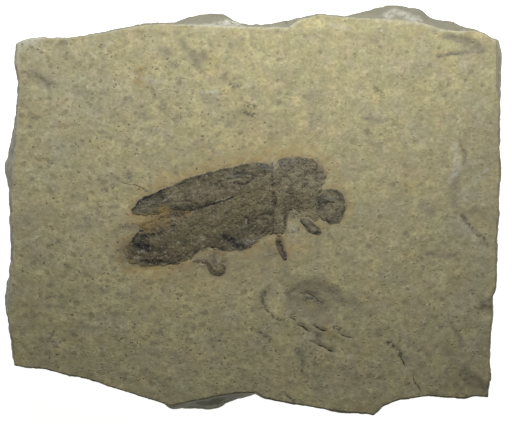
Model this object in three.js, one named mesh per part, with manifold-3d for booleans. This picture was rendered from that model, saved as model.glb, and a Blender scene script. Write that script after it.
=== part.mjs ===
// A fossil beetle pressed flat in a hand-sized slab of fine, pale limestone. The slab lies on its underside,
// and the beetle lies in the upper bedding face: head, chest plates, two parted wing cases, abdomen and legs.
// Millimetres. The origin is the middle of the slab's underside, +X runs along the slab towards the beetle's
// head, +Y across it, and +Z up out of the bedding face.
import * as THREE from "three";
import { mergeVertices } from "three/addons/utils/BufferGeometryUtils.js";
import Module from "manifold-3d";

const wasm = await Module();
wasm.setup();

// Driving dimensions of the slab
const SLAB_THICKNESS = 8;
const SLAB_CELLS = { along: 44, across: 36 };
const RIM_WEAR = 0.2;
const UNDERSIDE_INSET = 0.35;
const LAYER = { thickness: 1.3, roughness: 0.2, wave: 6.3, shift: 2 };
const SWELLS = [
  { height: 0.07, along: 38, across: 46 },
  { height: 0.04, along: 18, across: 23 },
];

// Driving dimensions of the beetle, a film of mineral and carbon that fills a shallow pocket in the stone
const POCKET_FLOOR = 7.5;
const POCKET_CLEARANCE = 0.2;
const FILM_EDGE = 8.05;
const RIB_HEIGHT = 0.05;

// The edge of the bedding face, one side at a time, from corner to corner
const CORNER = {
  backLeft: [-31.5, 22.1],
  backRight: [32.5, 22.5],
  frontLeft: [-31.8, -20.7],
  frontRight: [31.3, -24.9],
};
const BACK_RIM = [
  [-30.5, 22.6], [-28.4, 22.9], [-25.2, 22.8], [-23.1, 23.1], [-19.9, 23.6], [-15.6, 24.5], [-12.4, 24.8],
  [-10.3, 24.7], [-7.3, 24.7], [-5.6, 24.5], [-1.9, 24.4], [2.4, 24.3], [4.7, 24.2], [6.1, 25.3], [7.6, 25.7],
  [8.9, 26.1], [10.3, 25.9], [12.1, 25.7], [16, 25.4], [19.6, 25.2], [22.3, 24.9], [23.9, 24.5], [25.5, 24],
  [27.1, 23.8], [29.6, 23.9], [30.8, 23.5],
];
const RIGHT_RIM = [
  [32.5, 20.5], [32.5, 16.3], [32.9, 14], [32.8, 10.9], [33, 6.4], [32.8, 3.2], [32.8, 0.3], [32.5, -4],
  [32.5, -7.2], [32.4, -10.4], [31.9, -11.5], [31.9, -13.6], [31.5, -18.9], [31.7, -21.9], [31.3, -24.2],
];
const FRONT_RIM = [
  [-30.5, -21], [-27.6, -21.2], [-25.7, -21.8], [-22, -22.5], [-19.9, -23.3], [-16.7, -24.3], [-12.9, -25.5],
  [-10.9, -26.1], [-8.4, -25.6], [-4.4, -24.7], [-2.3, -24.4], [0.4, -24.4], [1.5, -25.1], [4.9, -25.8],
  [8.7, -26.4], [11.6, -27], [15.2, -27.2], [16.1, -27.4], [17.4, -26.1], [19.6, -25.3], [23.6, -24.8],
  [28.3, -25.2], [29.6, -24.9],
];
const LEFT_RIM = [
  [-31.7, 19.7], [-31.3, 17.6], [-31.3, 15.2], [-31.6, 12.3], [-31.8, 8], [-32.2, 3.2], [-32.3, 0.5],
  [-32.1, -2.9], [-32.1, -6.9], [-32.5, -9.9], [-32.8, -13.9], [-32.1, -17.6],
];

// How far the broken side stands out beyond the rim: [place along that side, reach]
const BACK_REACH = [
  [-31.5, 0.5], [-12.4, 0.6], [-10.3, 0.8], [-8.1, 1.5], [-6, 2.1], [-3.9, 1.95], [-1.7, 0.9], [0.4, 0.7],
  [2.5, 0.9], [4.7, 1.5], [6.3, 0.7], [7.9, 0.5], [12.1, 0.55], [14.3, 1.2], [17.5, 2.2], [18.5, 2.5],
  [21.7, 2.4], [22.8, 1.8], [23.9, 1.3], [26, 1.7], [27.1, 1.7], [29.2, 0.6], [32.5, 0.5],
];
const RIGHT_REACH = [[-24.9, 0.5], [-11, 0.5], [8, 0.5], [14, 0.6], [16.3, 1], [21, 1.2], [22.5, 0.8]];
const FRONT_REACH = [
  [-31.8, 0.5], [-12, 0.5], [-10.9, 0.9], [-8.1, 1.3], [-5.5, 2.2], [-3.9, 1.6], [-1.7, 1.1], [0.4, 0.6],
  [1.5, 0.5], [31.3, 0.5],
];
const LEFT_REACH = [
  [-20.7, 0.5], [-14.7, 0.6], [-12, 1], [-10.4, 0.9], [-9, 0.6], [2.5, 0.7], [4.5, 1.3], [5.6, 1.7],
  [6.7, 1.4], [9.6, 0.9], [12, 0.5], [22.1, 0.5],
];

// The broken side from the rim down: height, and share of the reach. Two heights close together make a ledge,
// where a layer of the stone stands out over the next one
const SIDE_PROFILE = [
  { height: 7.1, share: 0.35 },
  { height: 6.2, share: 0.75 },
  { height: 5.8, share: 0.62 },
  { height: 4.6, share: 1 },
  { height: 3.4, share: 0.95 },
  { height: 3, share: 0.75 },
  { height: 1, share: 0.6 },
  { height: 0, share: 0 },
];

// Hollows in the bedding face, and mounds where the depth is negative
const HOLLOWS = [
  { at: [8.4, -12.3], size: [4.4, 3.4], turn: -15, depth: 0.55 },
  { at: [28, 22.2], size: [3.4, 1.3], turn: -20, depth: 0.6 },
  { at: [28.6, -22.4], size: [4.8, 2.6], turn: -40, depth: 0.9 },
  { at: [27.1, 2.2], size: [1.4, 2.2], turn: 0, depth: 0.4 },
  { at: [29.6, -4.2], size: [3, 1.8], turn: -42, depth: 0.45 },
  { at: [30.9, -12.4], size: [1.8, 1.3], turn: 0, depth: 0.4 },
  { at: [-29, 17.6], size: [3, 1.4], turn: -10, depth: 0.35 },
  { at: [26.3, -17], size: [2.2, 2.4], turn: 20, depth: -0.3 },
  { at: [10.5, -17.8], size: [3.2, 1.5], turn: -30, depth: 0.3 },
];

// Each plate of the beetle lies between a back and a front margin that run from its tail end to its head end
const PLATES = [
  {
    name: "left_wing_case",
    back: [
      [-16.2, 0], [-15.3, 1.25], [-13.5, 2.1], [-12.1, 2.85], [-10.5, 3.35], [-8.5, 4.3], [-6.2, 4.9],
      [-3, 5.65], [0, 6.3], [2.5, 6.25],
    ],
    front: [
      [-16.1, -0.35], [-14.6, -0.6], [-12.6, -0.25], [-11.3, 0.3], [-8, 0.15], [-5, 1.1], [-1.5, 2.25],
      [2.5, 3.5],
    ],
    cells: [22, 8],
    dome: 0.3,
    ribs: 4,
  },
  {
    name: "right_wing_case",
    back: [
      [-17.2, -4.9], [-16.3, -3.95], [-15, -3], [-13.5, -3.35], [-12, -3], [-10.6, -2.3], [-9.2, -1.55],
      [-8, -0.5], [-5, 0.75], [-1.5, 1.9], [2.5, 3.15],
    ],
    front: [
      [-17.3, -5.3], [-16.4, -6.9], [-15, -7.3], [-12, -7.3], [-9.5, -6.8], [-8, -6.05], [-6.8, -5.1],
      [-4.8, -4.6], [-2.6, -2.7], [-0.3, -0.9], [2.5, 0.4],
    ],
    cells: [22, 8],
    dome: 0.28,
    ribs: 4,
  },
  {
    name: "abdomen",
    back: [
      [-15.3, -2.1], [-14.3, -1.5], [-13.1, -1.1], [-12.1, -0.6], [-11.2, -0.1], [-9.2, -0.3], [-8.5, -0.25],
    ],
    front: [[-15, -2.5], [-13.6, -3], [-12.1, -2.65], [-10.9, -2.1], [-9.6, -1.4], [-8.5, -0.6]],
    cells: [10, 4],
    dome: 0.08,
    ribs: 0,
  },
  {
    name: "hind_chest",
    back: [[-5.2, -4.95], [-4.5, -4.75], [-2.4, -2.9], [-0.1, -1.15], [2.5, 0]],
    front: [[-5.1, -5.2], [-2.3, -5.3], [-0.7, -5], [0.5, -4.1], [1.4, -3.4], [2.5, -2.95]],
    cells: [10, 6],
    dome: 0.25,
    ribs: 0,
  },
  {
    name: "middle_chest",
    back: [[2.85, 0.45], [3.8, 0.3], [4.7, 0]],
    front: [[2.85, -2.9], [3.6, -3], [4.3, -2.8]],
    cells: [5, 6],
    dome: 0.15,
    ribs: 0,
  },
  {
    name: "pronotum",
    back: [
      [2.85, 5.2], [3.5, 6.65], [4.5, 6.95], [6, 7.05], [7.5, 6.8], [8.7, 6.25], [9.5, 5.3], [9.65, 4.6],
    ],
    front: [[2.85, 0.8], [4, 0.65], [5.4, 0.2], [6.6, 0], [7.6, 0.25], [8.25, 1.2], [8.75, 2.4], [9.3, 3.7]],
    cells: [12, 10],
    dome: 0.34,
    ribs: 0,
  },
  {
    name: "neck",
    back: [[6.3, -0.45], [7, -0.25], [7.8, -0.1], [8.4, 0.1]],
    front: [[6.5, -0.75], [7.6, -0.85], [8.4, -1.45], [8.95, -1.1]],
    cells: [6, 4],
    dome: 0.08,
    ribs: 0,
  },
  {
    name: "head",
    back: [[8.6, 1.1], [9.15, 2.15], [10.1, 2.75], [11.1, 2.7], [11.9, 2.25], [12.35, 1.2]],
    front: [[8.65, 0.4], [9.2, -0.7], [9.9, -1.6], [10.8, -1.85], [11.8, -1.05], [12.3, 0.3]],
    cells: [10, 10],
    dome: 0.32,
    ribs: 0,
  },
  {
    name: "front_leg",
    back: [[6.3, -1.15], [7.2, -1.15], [8, -1.75], [8.6, -2.35], [9.1, -3]],
    front: [[6.3, -1.4], [6.9, -2.3], [7.5, -2.8], [8.2, -3.1], [8.95, -3.2]],
    cells: [8, 4],
    dome: 0.2,
    ribs: 0,
  },
  {
    name: "middle_leg",
    back: [[3.65, -3.35], [3.75, -4.1], [4.05, -4.9], [4.4, -5.8], [4.35, -6.5]],
    front: [[3.4, -3.35], [3.1, -4], [3.3, -4.9], [3.65, -5.8], [4.2, -6.6]],
    cells: [8, 3],
    dome: 0.14,
    ribs: 0,
  },
  {
    name: "hind_leg",
    back: [[-6.2, -6.6], [-5.4, -7.3], [-5, -7.9], [-4.6, -8], [-4.3, -7.7], [-4.2, -7]],
    front: [[-6.5, -6.9], [-5.9, -7.8], [-5.4, -8.5], [-4.7, -8.75], [-3.9, -8.4], [-3.6, -7.3]],
    cells: [8, 3],
    dome: 0.1,
    ribs: 0,
  },
  {
    name: "hind_foot",
    back: [[-8.1, -6.75], [-7.5, -6.72], [-6.9, -6.65]],
    front: [[-8.1, -7], [-7.5, -6.97], [-6.9, -6.9]],
    cells: [4, 2],
    dome: 0.05,
    ribs: 0,
  },
];

// Finishes
const LIMESTONE = new THREE.MeshStandardMaterial({ color: 0xa79f78, roughness: 0.95, metalness: 0 });
const CARBON_FILM = new THREE.MeshStandardMaterial({ color: 0x5c5646, roughness: 0.7, metalness: 0 });
const LEG_FILM = new THREE.MeshStandardMaterial({ color: 0x5e5142, roughness: 0.7, metalness: 0 });
const RUSTY_FILM = new THREE.MeshStandardMaterial({ color: 0x6e5f40, roughness: 0.85, metalness: 0 });
const FINISH = {
  abdomen: RUSTY_FILM,
  front_leg: LEG_FILM,
  middle_leg: LEG_FILM,
  hind_leg: LEG_FILM,
  hind_foot: LEG_FILM,
};

const FULL_TURN = 2 * Math.PI;
const smooth = (t) => t * t * (3 - 2 * t);

// Points at even steps along a curve through the given points
function evenPoints(points, steps) {
  const stops = points.map(([x, y]) => new THREE.Vector3(x, y, 0));
  const curve = new THREE.CatmullRomCurve3(stops, false, "centripetal");
  return curve.getSpacedPoints(steps).map((p) => [p.x, p.y]);
}

// A value from a table of [place, value] pairs in rising order of place
function valueAt(table, place) {
  const next = table.findIndex(([x]) => x > place);
  if (next < 0) return table.at(-1)[1];
  if (next === 0) return table[0][1];
  const [[x0, v0], [x1, v1]] = [table[next - 1], table[next]];
  return v0 + ((v1 - v0) * (place - x0)) / (x1 - x0);
}

// Height of the bedding face over the underside
function beddingHeight(x, y) {
  const swell = SWELLS.reduce((sum, { height, along, across }) =>
    sum + height * Math.sin((FULL_TURN * x) / along) * Math.cos((FULL_TURN * y) / across), 0);
  const sunk = HOLLOWS.reduce((sum, { at, size, turn, depth }) => {
    const angle = THREE.MathUtils.degToRad(turn);
    const [dx, dy] = [x - at[0], y - at[1]];
    const along = (dx * Math.cos(angle) + dy * Math.sin(angle)) / size[0];
    const across = (dy * Math.cos(angle) - dx * Math.sin(angle)) / size[1];
    return sum + depth * smooth(Math.max(0, 1 - along * along - across * across));
  }, 0);
  return SLAB_THICKNESS + swell - sunk;
}

// The broken side's own unevenness, up to the layers' roughness in or out, different in each layer
function layerWobble(x, y, height) {
  const slide = LAYER.shift * Math.floor(height / LAYER.thickness);
  const waveAt = (place) => Math.sin((FULL_TURN * place) / LAYER.wave);
  return (LAYER.roughness * (waveAt(x + slide) + waveAt(y - slide))) / 2;
}

// A closed solid from faces given as [a, b, c] corner numbers
function geometryOf(corners, faces) {
  const geometry = new THREE.BufferGeometry();
  geometry.setAttribute("position", new THREE.Float32BufferAttribute(corners.flat(), 3));
  geometry.setIndex(faces.flat());
  return geometry;
}

// Faces of a grid of cells whose corners are numbered row by row, seen from above
function gridFaces(columns, rows) {
  const faces = [];
  for (let j = 0; j < rows; j++) {
    for (let i = 0; i < columns; i++) {
      const a = j * (columns + 1) + i;
      const b = a + columns + 1;
      faces.push([a, a + 1, b + 1], [a, b + 1, b]);
    }
  }
  return faces;
}

// The numbers of a grid's outer corners, anticlockwise from above
function gridEdge(columns, rows) {
  const at = (i, j) => j * (columns + 1) + i;
  const edge = [];
  for (let i = 0; i < columns; i++) edge.push(at(i, 0));
  for (let j = 0; j < rows; j++) edge.push(at(columns, j));
  for (let i = columns; i > 0; i--) edge.push(at(i, rows));
  for (let j = rows; j > 0; j--) edge.push(at(0, j));
  return edge;
}

// Joins a ring of corners to the next one below it
function wallFaces(upper, lower) {
  return upper.flatMap((corner, i) => {
    const next = (i + 1) % upper.length;
    return [
      [corner, lower[i], lower[next]],
      [corner, lower[next], upper[next]],
    ];
  });
}

// Closes a flat ring of corners from below
function floorFaces(corners, ring) {
  const flat = ring.map((n) => new THREE.Vector2(corners[n][0], corners[n][1]));
  return THREE.ShapeUtils.triangulateShape(flat, []).map(([a, b, c]) => [ring[a], ring[c], ring[b]]);
}

// The way out of the slab at each corner of a ring
function outwards(ring) {
  return ring.map((_, i) => {
    const [before, after] = [ring.at(i - 1), ring[(i + 1) % ring.length]];
    const along = new THREE.Vector2(after[0] - before[0], after[1] - before[1]).normalize();
    return [along.y, -along.x];
  });
}

// The slab: a grid stretched between the four sides of the rim, broken sides, and a flat underside
function slabSolid() {
  const { along: columns, across: rows } = SLAB_CELLS;
  const front = evenPoints([CORNER.frontLeft, ...FRONT_RIM, CORNER.frontRight], columns);
  const back = evenPoints([CORNER.backLeft, ...BACK_RIM, CORNER.backRight], columns);
  const left = evenPoints([CORNER.backLeft, ...LEFT_RIM, CORNER.frontLeft], rows).reverse();
  const right = evenPoints([CORNER.backRight, ...RIGHT_RIM, CORNER.frontRight], rows).reverse();
  const corners = [];
  for (let j = 0; j <= rows; j++) {
    for (let i = 0; i <= columns; i++) {
      const [u, v] = [i / columns, j / rows];
      const [x, y] = [0, 1].map((k) =>
        (1 - v) * front[i][k] + v * back[i][k] + (1 - u) * left[j][k] + u * right[j][k]
        - (1 - u) * (1 - v) * CORNER.frontLeft[k] - u * (1 - v) * CORNER.frontRight[k]
        - (1 - u) * v * CORNER.backLeft[k] - u * v * CORNER.backRight[k]);
      corners.push([x, y, beddingHeight(x, y)]);
    }
  }
  const rim = gridEdge(columns, rows);
  rim.forEach((n) => (corners[n][2] -= RIM_WEAR));
  const reachTables = [FRONT_REACH, RIGHT_REACH, BACK_REACH, LEFT_REACH];
  const sideOf = (i) => [columns, columns + rows, 2 * columns + rows, Infinity].findIndex((end) => i < end);
  const ways = outwards(rim.map((n) => corners[n]));
  const faces = gridFaces(columns, rows);
  let above = rim;
  for (const { height, share } of SIDE_PROFILE) {
    const ring = rim.map((n, i) => {
      const [x, y] = corners[n];
      const side = sideOf(i);
      const reach = valueAt(reachTables[side], side % 2 ? y : x);
      const out = height > 0 ? reach * share - Math.abs(layerWobble(x, y, height)) : -UNDERSIDE_INSET;
      corners.push([x + ways[i][0] * out, y + ways[i][1] * out, height]);
      return corners.length - 1;
    });
    faces.push(...wallFaces(above, ring));
    above = ring;
  }
  faces.push(...floorFaces(corners, above));
  return geometryOf(corners, faces);
}

// One plate of the beetle: a low dome between its two margins, with lengthwise ribs on the wing cases
function plateSolid({ back, front, cells, dome, ribs }) {
  const [columns, rows] = cells;
  const backLine = evenPoints(back, columns);
  const frontLine = evenPoints(front, columns);
  const corners = [];
  for (let j = 0; j <= rows; j++) {
    for (let i = 0; i <= columns; i++) {
      const [u, v] = [i / columns, j / rows];
      const arch = Math.sqrt(Math.max(0, 1 - (2 * v - 1) ** 2) * Math.max(0, 1 - (2 * u - 1) ** 6));
      const rib = RIB_HEIGHT * Math.sin(v * Math.PI * ribs) ** 2 * arch;
      corners.push([
        frontLine[i][0] * (1 - v) + backLine[i][0] * v,
        frontLine[i][1] * (1 - v) + backLine[i][1] * v,
        FILM_EDGE + dome * arch + rib,
      ]);
    }
  }
  const rim = gridEdge(columns, rows);
  const foot = rim.map((n) => corners.push([corners[n][0], corners[n][1], POCKET_FLOOR]) - 1);
  const faces = [...gridFaces(columns, rows), ...wallFaces(rim, foot), ...floorFaces(corners, foot)];
  return geometryOf(corners, faces);
}

// The room that a plate needs in the stone: its outline, a little larger, from the pocket's floor up
function pocketTool({ back, front, cells }) {
  const [columns] = cells;
  const ring = [...evenPoints(front, columns), ...evenPoints(back, columns).reverse()];
  const ways = outwards(ring);
  const outline = ring.map(([x, y], i) =>
    new THREE.Vector2(x + ways[i][0] * POCKET_CLEARANCE, y + ways[i][1] * POCKET_CLEARANCE));
  const height = SLAB_THICKNESS + 1 - POCKET_FLOOR;
  return new THREE.ExtrudeGeometry(new THREE.Shape(outline), { depth: height, bevelEnabled: false })
    .translate(0, 0, POCKET_FLOOR);
}

function solidOf(geometry) {
  const bare = geometry.clone();
  bare.deleteAttribute("normal");
  bare.deleteAttribute("uv");
  const merged = mergeVertices(bare, 1e-4);
  return new wasm.Manifold(new wasm.Mesh({
    numProp: 3,
    vertProperties: merged.getAttribute("position").array,
    triVerts: new Uint32Array(merged.index.array),
  }));
}

function geometryFrom(solid) {
  const { vertProperties, triVerts } = solid.getMesh();
  const geometry = new THREE.BufferGeometry();
  geometry.setAttribute("position", new THREE.BufferAttribute(vertProperties, 3));
  geometry.setIndex(new THREE.BufferAttribute(triVerts, 1));
  return geometry;
}

function stoneWithPocket() {
  const pocket = PLATES.map((plate) => solidOf(pocketTool(plate))).reduce((all, tool) => all.add(tool));
  return geometryFrom(solidOf(slabSolid()).subtract(pocket));
}

const fossil = new THREE.Group();

const slab = new THREE.Mesh(stoneWithPocket(), LIMESTONE);
slab.name = "stone_slab";
fossil.add(slab);

for (const plate of PLATES) {
  const mesh = new THREE.Mesh(plateSolid(plate), FINISH[plate.name] ?? CARBON_FILM);
  mesh.name = plate.name;
  fossil.add(mesh);
}

export default fossil;
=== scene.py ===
# %% [markdown]
# # A fossil beetle in a slab of lake limestone
#
# The real object is a loose slab of very fine limestone, about 67 mm long. It was split along its
# bedding, and the new face shows a beetle that was pressed flat in the mud: a dark, crumbly film of
# carbon and minerals, less than half a millimetre thick. The packed model gives every piece its
# true place and size. This script dresses each of them: the stone gets its grain, creases, stains
# and broken sides, and the beetle gets its crust.
#
# The model stays the measure of everything, so it is loaded first and its box is kept.

# %% Load the packed model
import math

import bmesh
import bpy
import numpy as np
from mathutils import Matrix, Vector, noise


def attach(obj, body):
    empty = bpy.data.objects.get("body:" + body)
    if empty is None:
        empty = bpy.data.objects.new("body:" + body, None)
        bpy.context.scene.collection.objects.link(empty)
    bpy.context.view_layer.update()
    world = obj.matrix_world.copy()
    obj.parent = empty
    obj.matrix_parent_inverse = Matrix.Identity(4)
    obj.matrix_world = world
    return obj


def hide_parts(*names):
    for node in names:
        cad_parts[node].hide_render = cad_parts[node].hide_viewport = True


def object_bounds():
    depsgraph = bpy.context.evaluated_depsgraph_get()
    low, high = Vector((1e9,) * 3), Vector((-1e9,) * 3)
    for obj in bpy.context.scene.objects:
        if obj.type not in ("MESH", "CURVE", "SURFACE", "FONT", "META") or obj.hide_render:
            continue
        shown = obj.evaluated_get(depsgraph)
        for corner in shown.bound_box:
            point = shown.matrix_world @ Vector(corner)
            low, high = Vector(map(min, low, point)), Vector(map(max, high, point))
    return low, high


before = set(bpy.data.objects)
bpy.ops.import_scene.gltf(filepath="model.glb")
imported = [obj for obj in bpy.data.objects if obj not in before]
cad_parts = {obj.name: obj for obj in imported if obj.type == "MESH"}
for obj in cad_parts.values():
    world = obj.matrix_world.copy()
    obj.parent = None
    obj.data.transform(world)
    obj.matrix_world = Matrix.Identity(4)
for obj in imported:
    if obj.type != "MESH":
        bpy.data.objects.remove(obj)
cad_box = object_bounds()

MM = 0.001
LOWEST = np.array(cad_box[0]) / MM
HIGHEST = np.array(cad_box[1]) / MM
print("model box in millimetres:", LOWEST.round(2), HIGHEST.round(2))

# %% [markdown]
# ## Drawing tools
#
# Nothing on a fossil is straight or regular, but its outlines and marks still have to be where the
# real ones are. So every line is a short list of given points in millimetres, and a few
# helpers do the rest: one draws a smooth curve through the points, one measures how far a place is
# from a line, and one gives a soft unevenness. Sculpting by hand would look as good, but it
# couldn't be changed by changing a number.

# %% Curves
CURVE_STEPS = 16


def straight_line(stops, steps):
    """Evenly spaced points on the straight stretches between stops."""
    stops = np.array(stops, float)
    lengths = np.linalg.norm(np.diff(stops, axis=0), axis=1)
    along = np.concatenate([[0], np.cumsum(lengths)])
    even = np.linspace(0, along[-1], steps + 1)
    return np.column_stack([np.interp(even, along, stops[:, k]) for k in range(2)])


def between(p, q, start, end, t):
    """The place at time t on a straight way that leaves p at one time and reaches q at another."""
    return ((end - t) * p + (t - start) * q) / (end - start)


def smooth_line(stops, steps):
    """Evenly spaced points on a smooth curve through given stops."""
    stops = np.array(stops, float)
    before, after = 2 * stops[0] - stops[1], 2 * stops[-1] - stops[-2]
    knots = np.vstack([before, stops, after])
    dense = []
    for a, b, c, d in zip(knots, knots[1:], knots[2:], knots[3:]):
        gaps = [np.linalg.norm(q - p) ** 0.5 for p, q in ((a, b), (b, c), (c, d))]
        t0, t1, t2, t3 = np.cumsum([0, *gaps])
        t = np.linspace(t1, t2, CURVE_STEPS, endpoint=False)[:, None]
        ab, bc, cd = between(a, b, t0, t1, t), between(b, c, t1, t2, t), between(c, d, t2, t3, t)
        abc, bcd = between(ab, bc, t0, t2, t), between(bc, cd, t1, t3, t)
        dense.append(between(abc, bcd, t1, t2, t))
    return straight_line(np.vstack([*dense, stops[-1]]), steps)


print("a curve from (0, 0) to (1, 0) has its middle at", smooth_line([(0, 0), (1, 0)], 2)[1])

# %% Unevenness, distances and strokes
SEED_SHIFT = 17.3
SHIFT_SIZE = 1.3
FARTHEST = 1


def ripple(places, size, octaves=1, seed=0):
    """Smooth unevenness at each place, about -0.7 to 0.7, with bumps about size millimetres across."""
    scaled = np.full((len(places), 3), seed * SEED_SHIFT)
    scaled[:, :places.shape[1]] += places / size
    return np.array([noise.fractal(place, 1.0, 2.0, octaves) for place in scaled.tolist()])


def sideways(places):
    """A shift in the plane at each place, which makes drawn lines wander."""
    return np.column_stack([ripple(places, SHIFT_SIZE, 3, seed) for seed in (3, 4)])


def distance_to_line(places, line):
    """Distance from each place to the nearest point of a line of straight stretches."""
    nearest = np.linalg.norm(places - line[0], axis=1)
    for start, end in zip(line, line[1:]):
        along = end - start
        share = np.clip((places - start) @ along / (along @ along), 0, 1)[:, None]
        nearest = np.minimum(nearest, np.linalg.norm(places - start - share * along, axis=1))
    return nearest


def depth_inside(places, ring):
    """Distance in from a closed outline. Outside it is negative, and no less than -FARTHEST."""
    lowest, highest = ring.min(axis=0) - FARTHEST, ring.max(axis=0) + FARTHEST
    close = np.all((places > lowest) & (places < highest), axis=1)
    near = places[close]
    inside = np.zeros(len(near), bool)
    closed = np.vstack([ring, ring[:1]])
    for (ax, ay), (bx, by) in zip(closed, closed[1:]):
        if ay != by:
            passes = (ay > near[:, 1]) != (by > near[:, 1])
            inside ^= passes & (near[:, 0] < ax + (near[:, 1] - ay) * (bx - ax) / (by - ay))
    gap = distance_to_line(near, closed)
    depth = np.full(len(places), -float(FARTHEST))
    depth[close] = np.where(inside, gap, -np.minimum(gap, FARTHEST))
    return depth


def outwards(ring):
    """The way out, as a unit vector, at each point of a closed anticlockwise outline."""
    along = np.roll(ring, -1, axis=0) - np.roll(ring, 1, axis=0)
    along /= np.linalg.norm(along, axis=1)[:, None]
    return np.column_stack([along[:, 1], -along[:, 0]])


def rise(values, low, high):
    """0 below low, 1 above high, and an S-shaped rise between them."""
    share = np.clip((values - low) / (high - low), 0, 1)
    return share * share * (3 - 2 * share)


def strokes_at(places, strokes, wander=0.3):
    """The sum of some strokes: (width, strength, line). Each fades over its width and wanders a little."""
    moved = places + wander * sideways(places)
    total = np.zeros(len(places))
    for width, strength, line in strokes:
        near = distance_to_line(moved, np.array(line, float)) / width
        total += strength * np.exp(-near * near)
    return total


print("unevenness at the middle of the slab:", ripple(np.zeros((1, 2)), 1, 3, 1).round(3)[0])

# %% [markdown]
# ## The stone's outline
#
# The edge of the bedding face is four curves from corner to corner. Below it the broken sides stand
# out by up to 2.5 mm, so each side also has a short table of its reach, and one profile says how
# much of that reach shows at each height. These are the same sizes as in the model, because the
# dressed stone has to stay inside it.

# %% The slab's plan
THICKNESS = 8
CORNER = {
    "back_left": (-31.5, 22.1),
    "back_right": (32.5, 22.5),
    "front_left": (-31.8, -20.7),
    "front_right": (31.3, -24.9),
}
BACK_RIM = [
    (-30.5, 22.6), (-28.4, 22.9), (-25.2, 22.8), (-23.1, 23.1), (-19.9, 23.6), (-15.6, 24.5),
    (-12.4, 24.8), (-10.3, 24.7), (-7.3, 24.7), (-5.6, 24.5), (-1.9, 24.4), (2.4, 24.3), (4.7, 24.2),
    (6.1, 25.3), (7.6, 25.7), (8.9, 26.1), (10.3, 25.9), (12.1, 25.7), (16, 25.4), (19.6, 25.2),
    (22.3, 24.9), (23.9, 24.5), (25.5, 24), (27.1, 23.8), (29.6, 23.9), (30.8, 23.5),
]
RIGHT_RIM = [
    (32.5, 20.5), (32.5, 16.3), (32.9, 14), (32.8, 10.9), (33, 6.4), (32.8, 3.2), (32.8, 0.3),
    (32.5, -4), (32.5, -7.2), (32.4, -10.4), (31.9, -11.5), (31.9, -13.6), (31.5, -18.9), (31.7, -21.9),
    (31.3, -24.2),
]
FRONT_RIM = [
    (-30.5, -21), (-27.6, -21.2), (-25.7, -21.8), (-22, -22.5), (-19.9, -23.3), (-16.7, -24.3),
    (-12.9, -25.5), (-10.9, -26.1), (-8.4, -25.6), (-4.4, -24.7), (-2.3, -24.4), (0.4, -24.4),
    (1.5, -25.1), (4.9, -25.8), (8.7, -26.4), (11.6, -27), (15.2, -27.2), (16.1, -27.4), (17.4, -26.1),
    (19.6, -25.3), (23.6, -24.8), (28.3, -25.2), (29.6, -24.9),
]
LEFT_RIM = [
    (-31.7, 19.7), (-31.3, 17.6), (-31.3, 15.2), (-31.6, 12.3), (-31.8, 8), (-32.2, 3.2), (-32.3, 0.5),
    (-32.1, -2.9), (-32.1, -6.9), (-32.5, -9.9), (-32.8, -13.9), (-32.1, -17.6),
]
BACK_REACH = [
    (-31.5, 0.5), (-12.4, 0.6), (-10.3, 0.8), (-8.1, 1.5), (-6, 2.1), (-3.9, 1.95), (-1.7, 0.9),
    (0.4, 0.7), (2.5, 0.9), (4.7, 1.5), (6.3, 0.7), (7.9, 0.5), (12.1, 0.55), (14.3, 1.2), (17.5, 2.2),
    (18.5, 2.5), (21.7, 2.4), (22.8, 1.8), (23.9, 1.3), (26, 1.7), (27.1, 1.7), (29.2, 0.6),
    (32.5, 0.5),
]
RIGHT_REACH = [(-24.9, 0.5), (-11, 0.5), (8, 0.5), (14, 0.6), (16.3, 1), (21, 1.2), (22.5, 0.8)]
FRONT_REACH = [
    (-31.8, 0.3), (-12, 0.3), (-10.9, 0.9), (-8.1, 1.3), (-5.5, 2.2), (-3.9, 1.6), (-1.7, 1.1),
    (0.4, 0.6), (1.5, 0.3), (31.3, 0.3),
]
LEFT_REACH = [
    (-20.7, 0.5), (-14.7, 0.6), (-12, 1), (-10.4, 0.9), (-9, 0.6), (2.5, 0.7), (4.5, 1.3), (5.6, 1.7),
    (6.7, 1.4), (9.6, 0.9), (12, 0.5), (22.1, 0.5),
]
SIDE_PROFILE = [
    (0, 0.35), (1, 0.6), (3, 0.75), (3.4, 0.95), (4.6, 1), (5.8, 0.62), (6.2, 0.75), (7.1, 0.35),
    (8, 0),
]
print("reach of the broken sides: up to", max(reach for _, reach in BACK_REACH), "mm")

# %% [markdown]
# ## The beetle's outline
#
# Each plate lies between a back and a front margin that run from its tail end to its head end. Two
# margins are better than one closed outline here, because the ribs of a wing case run between them,
# as its veins once did. Each plate also has the height of its dome, and a wing case has the number
# of its ribs.

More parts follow.
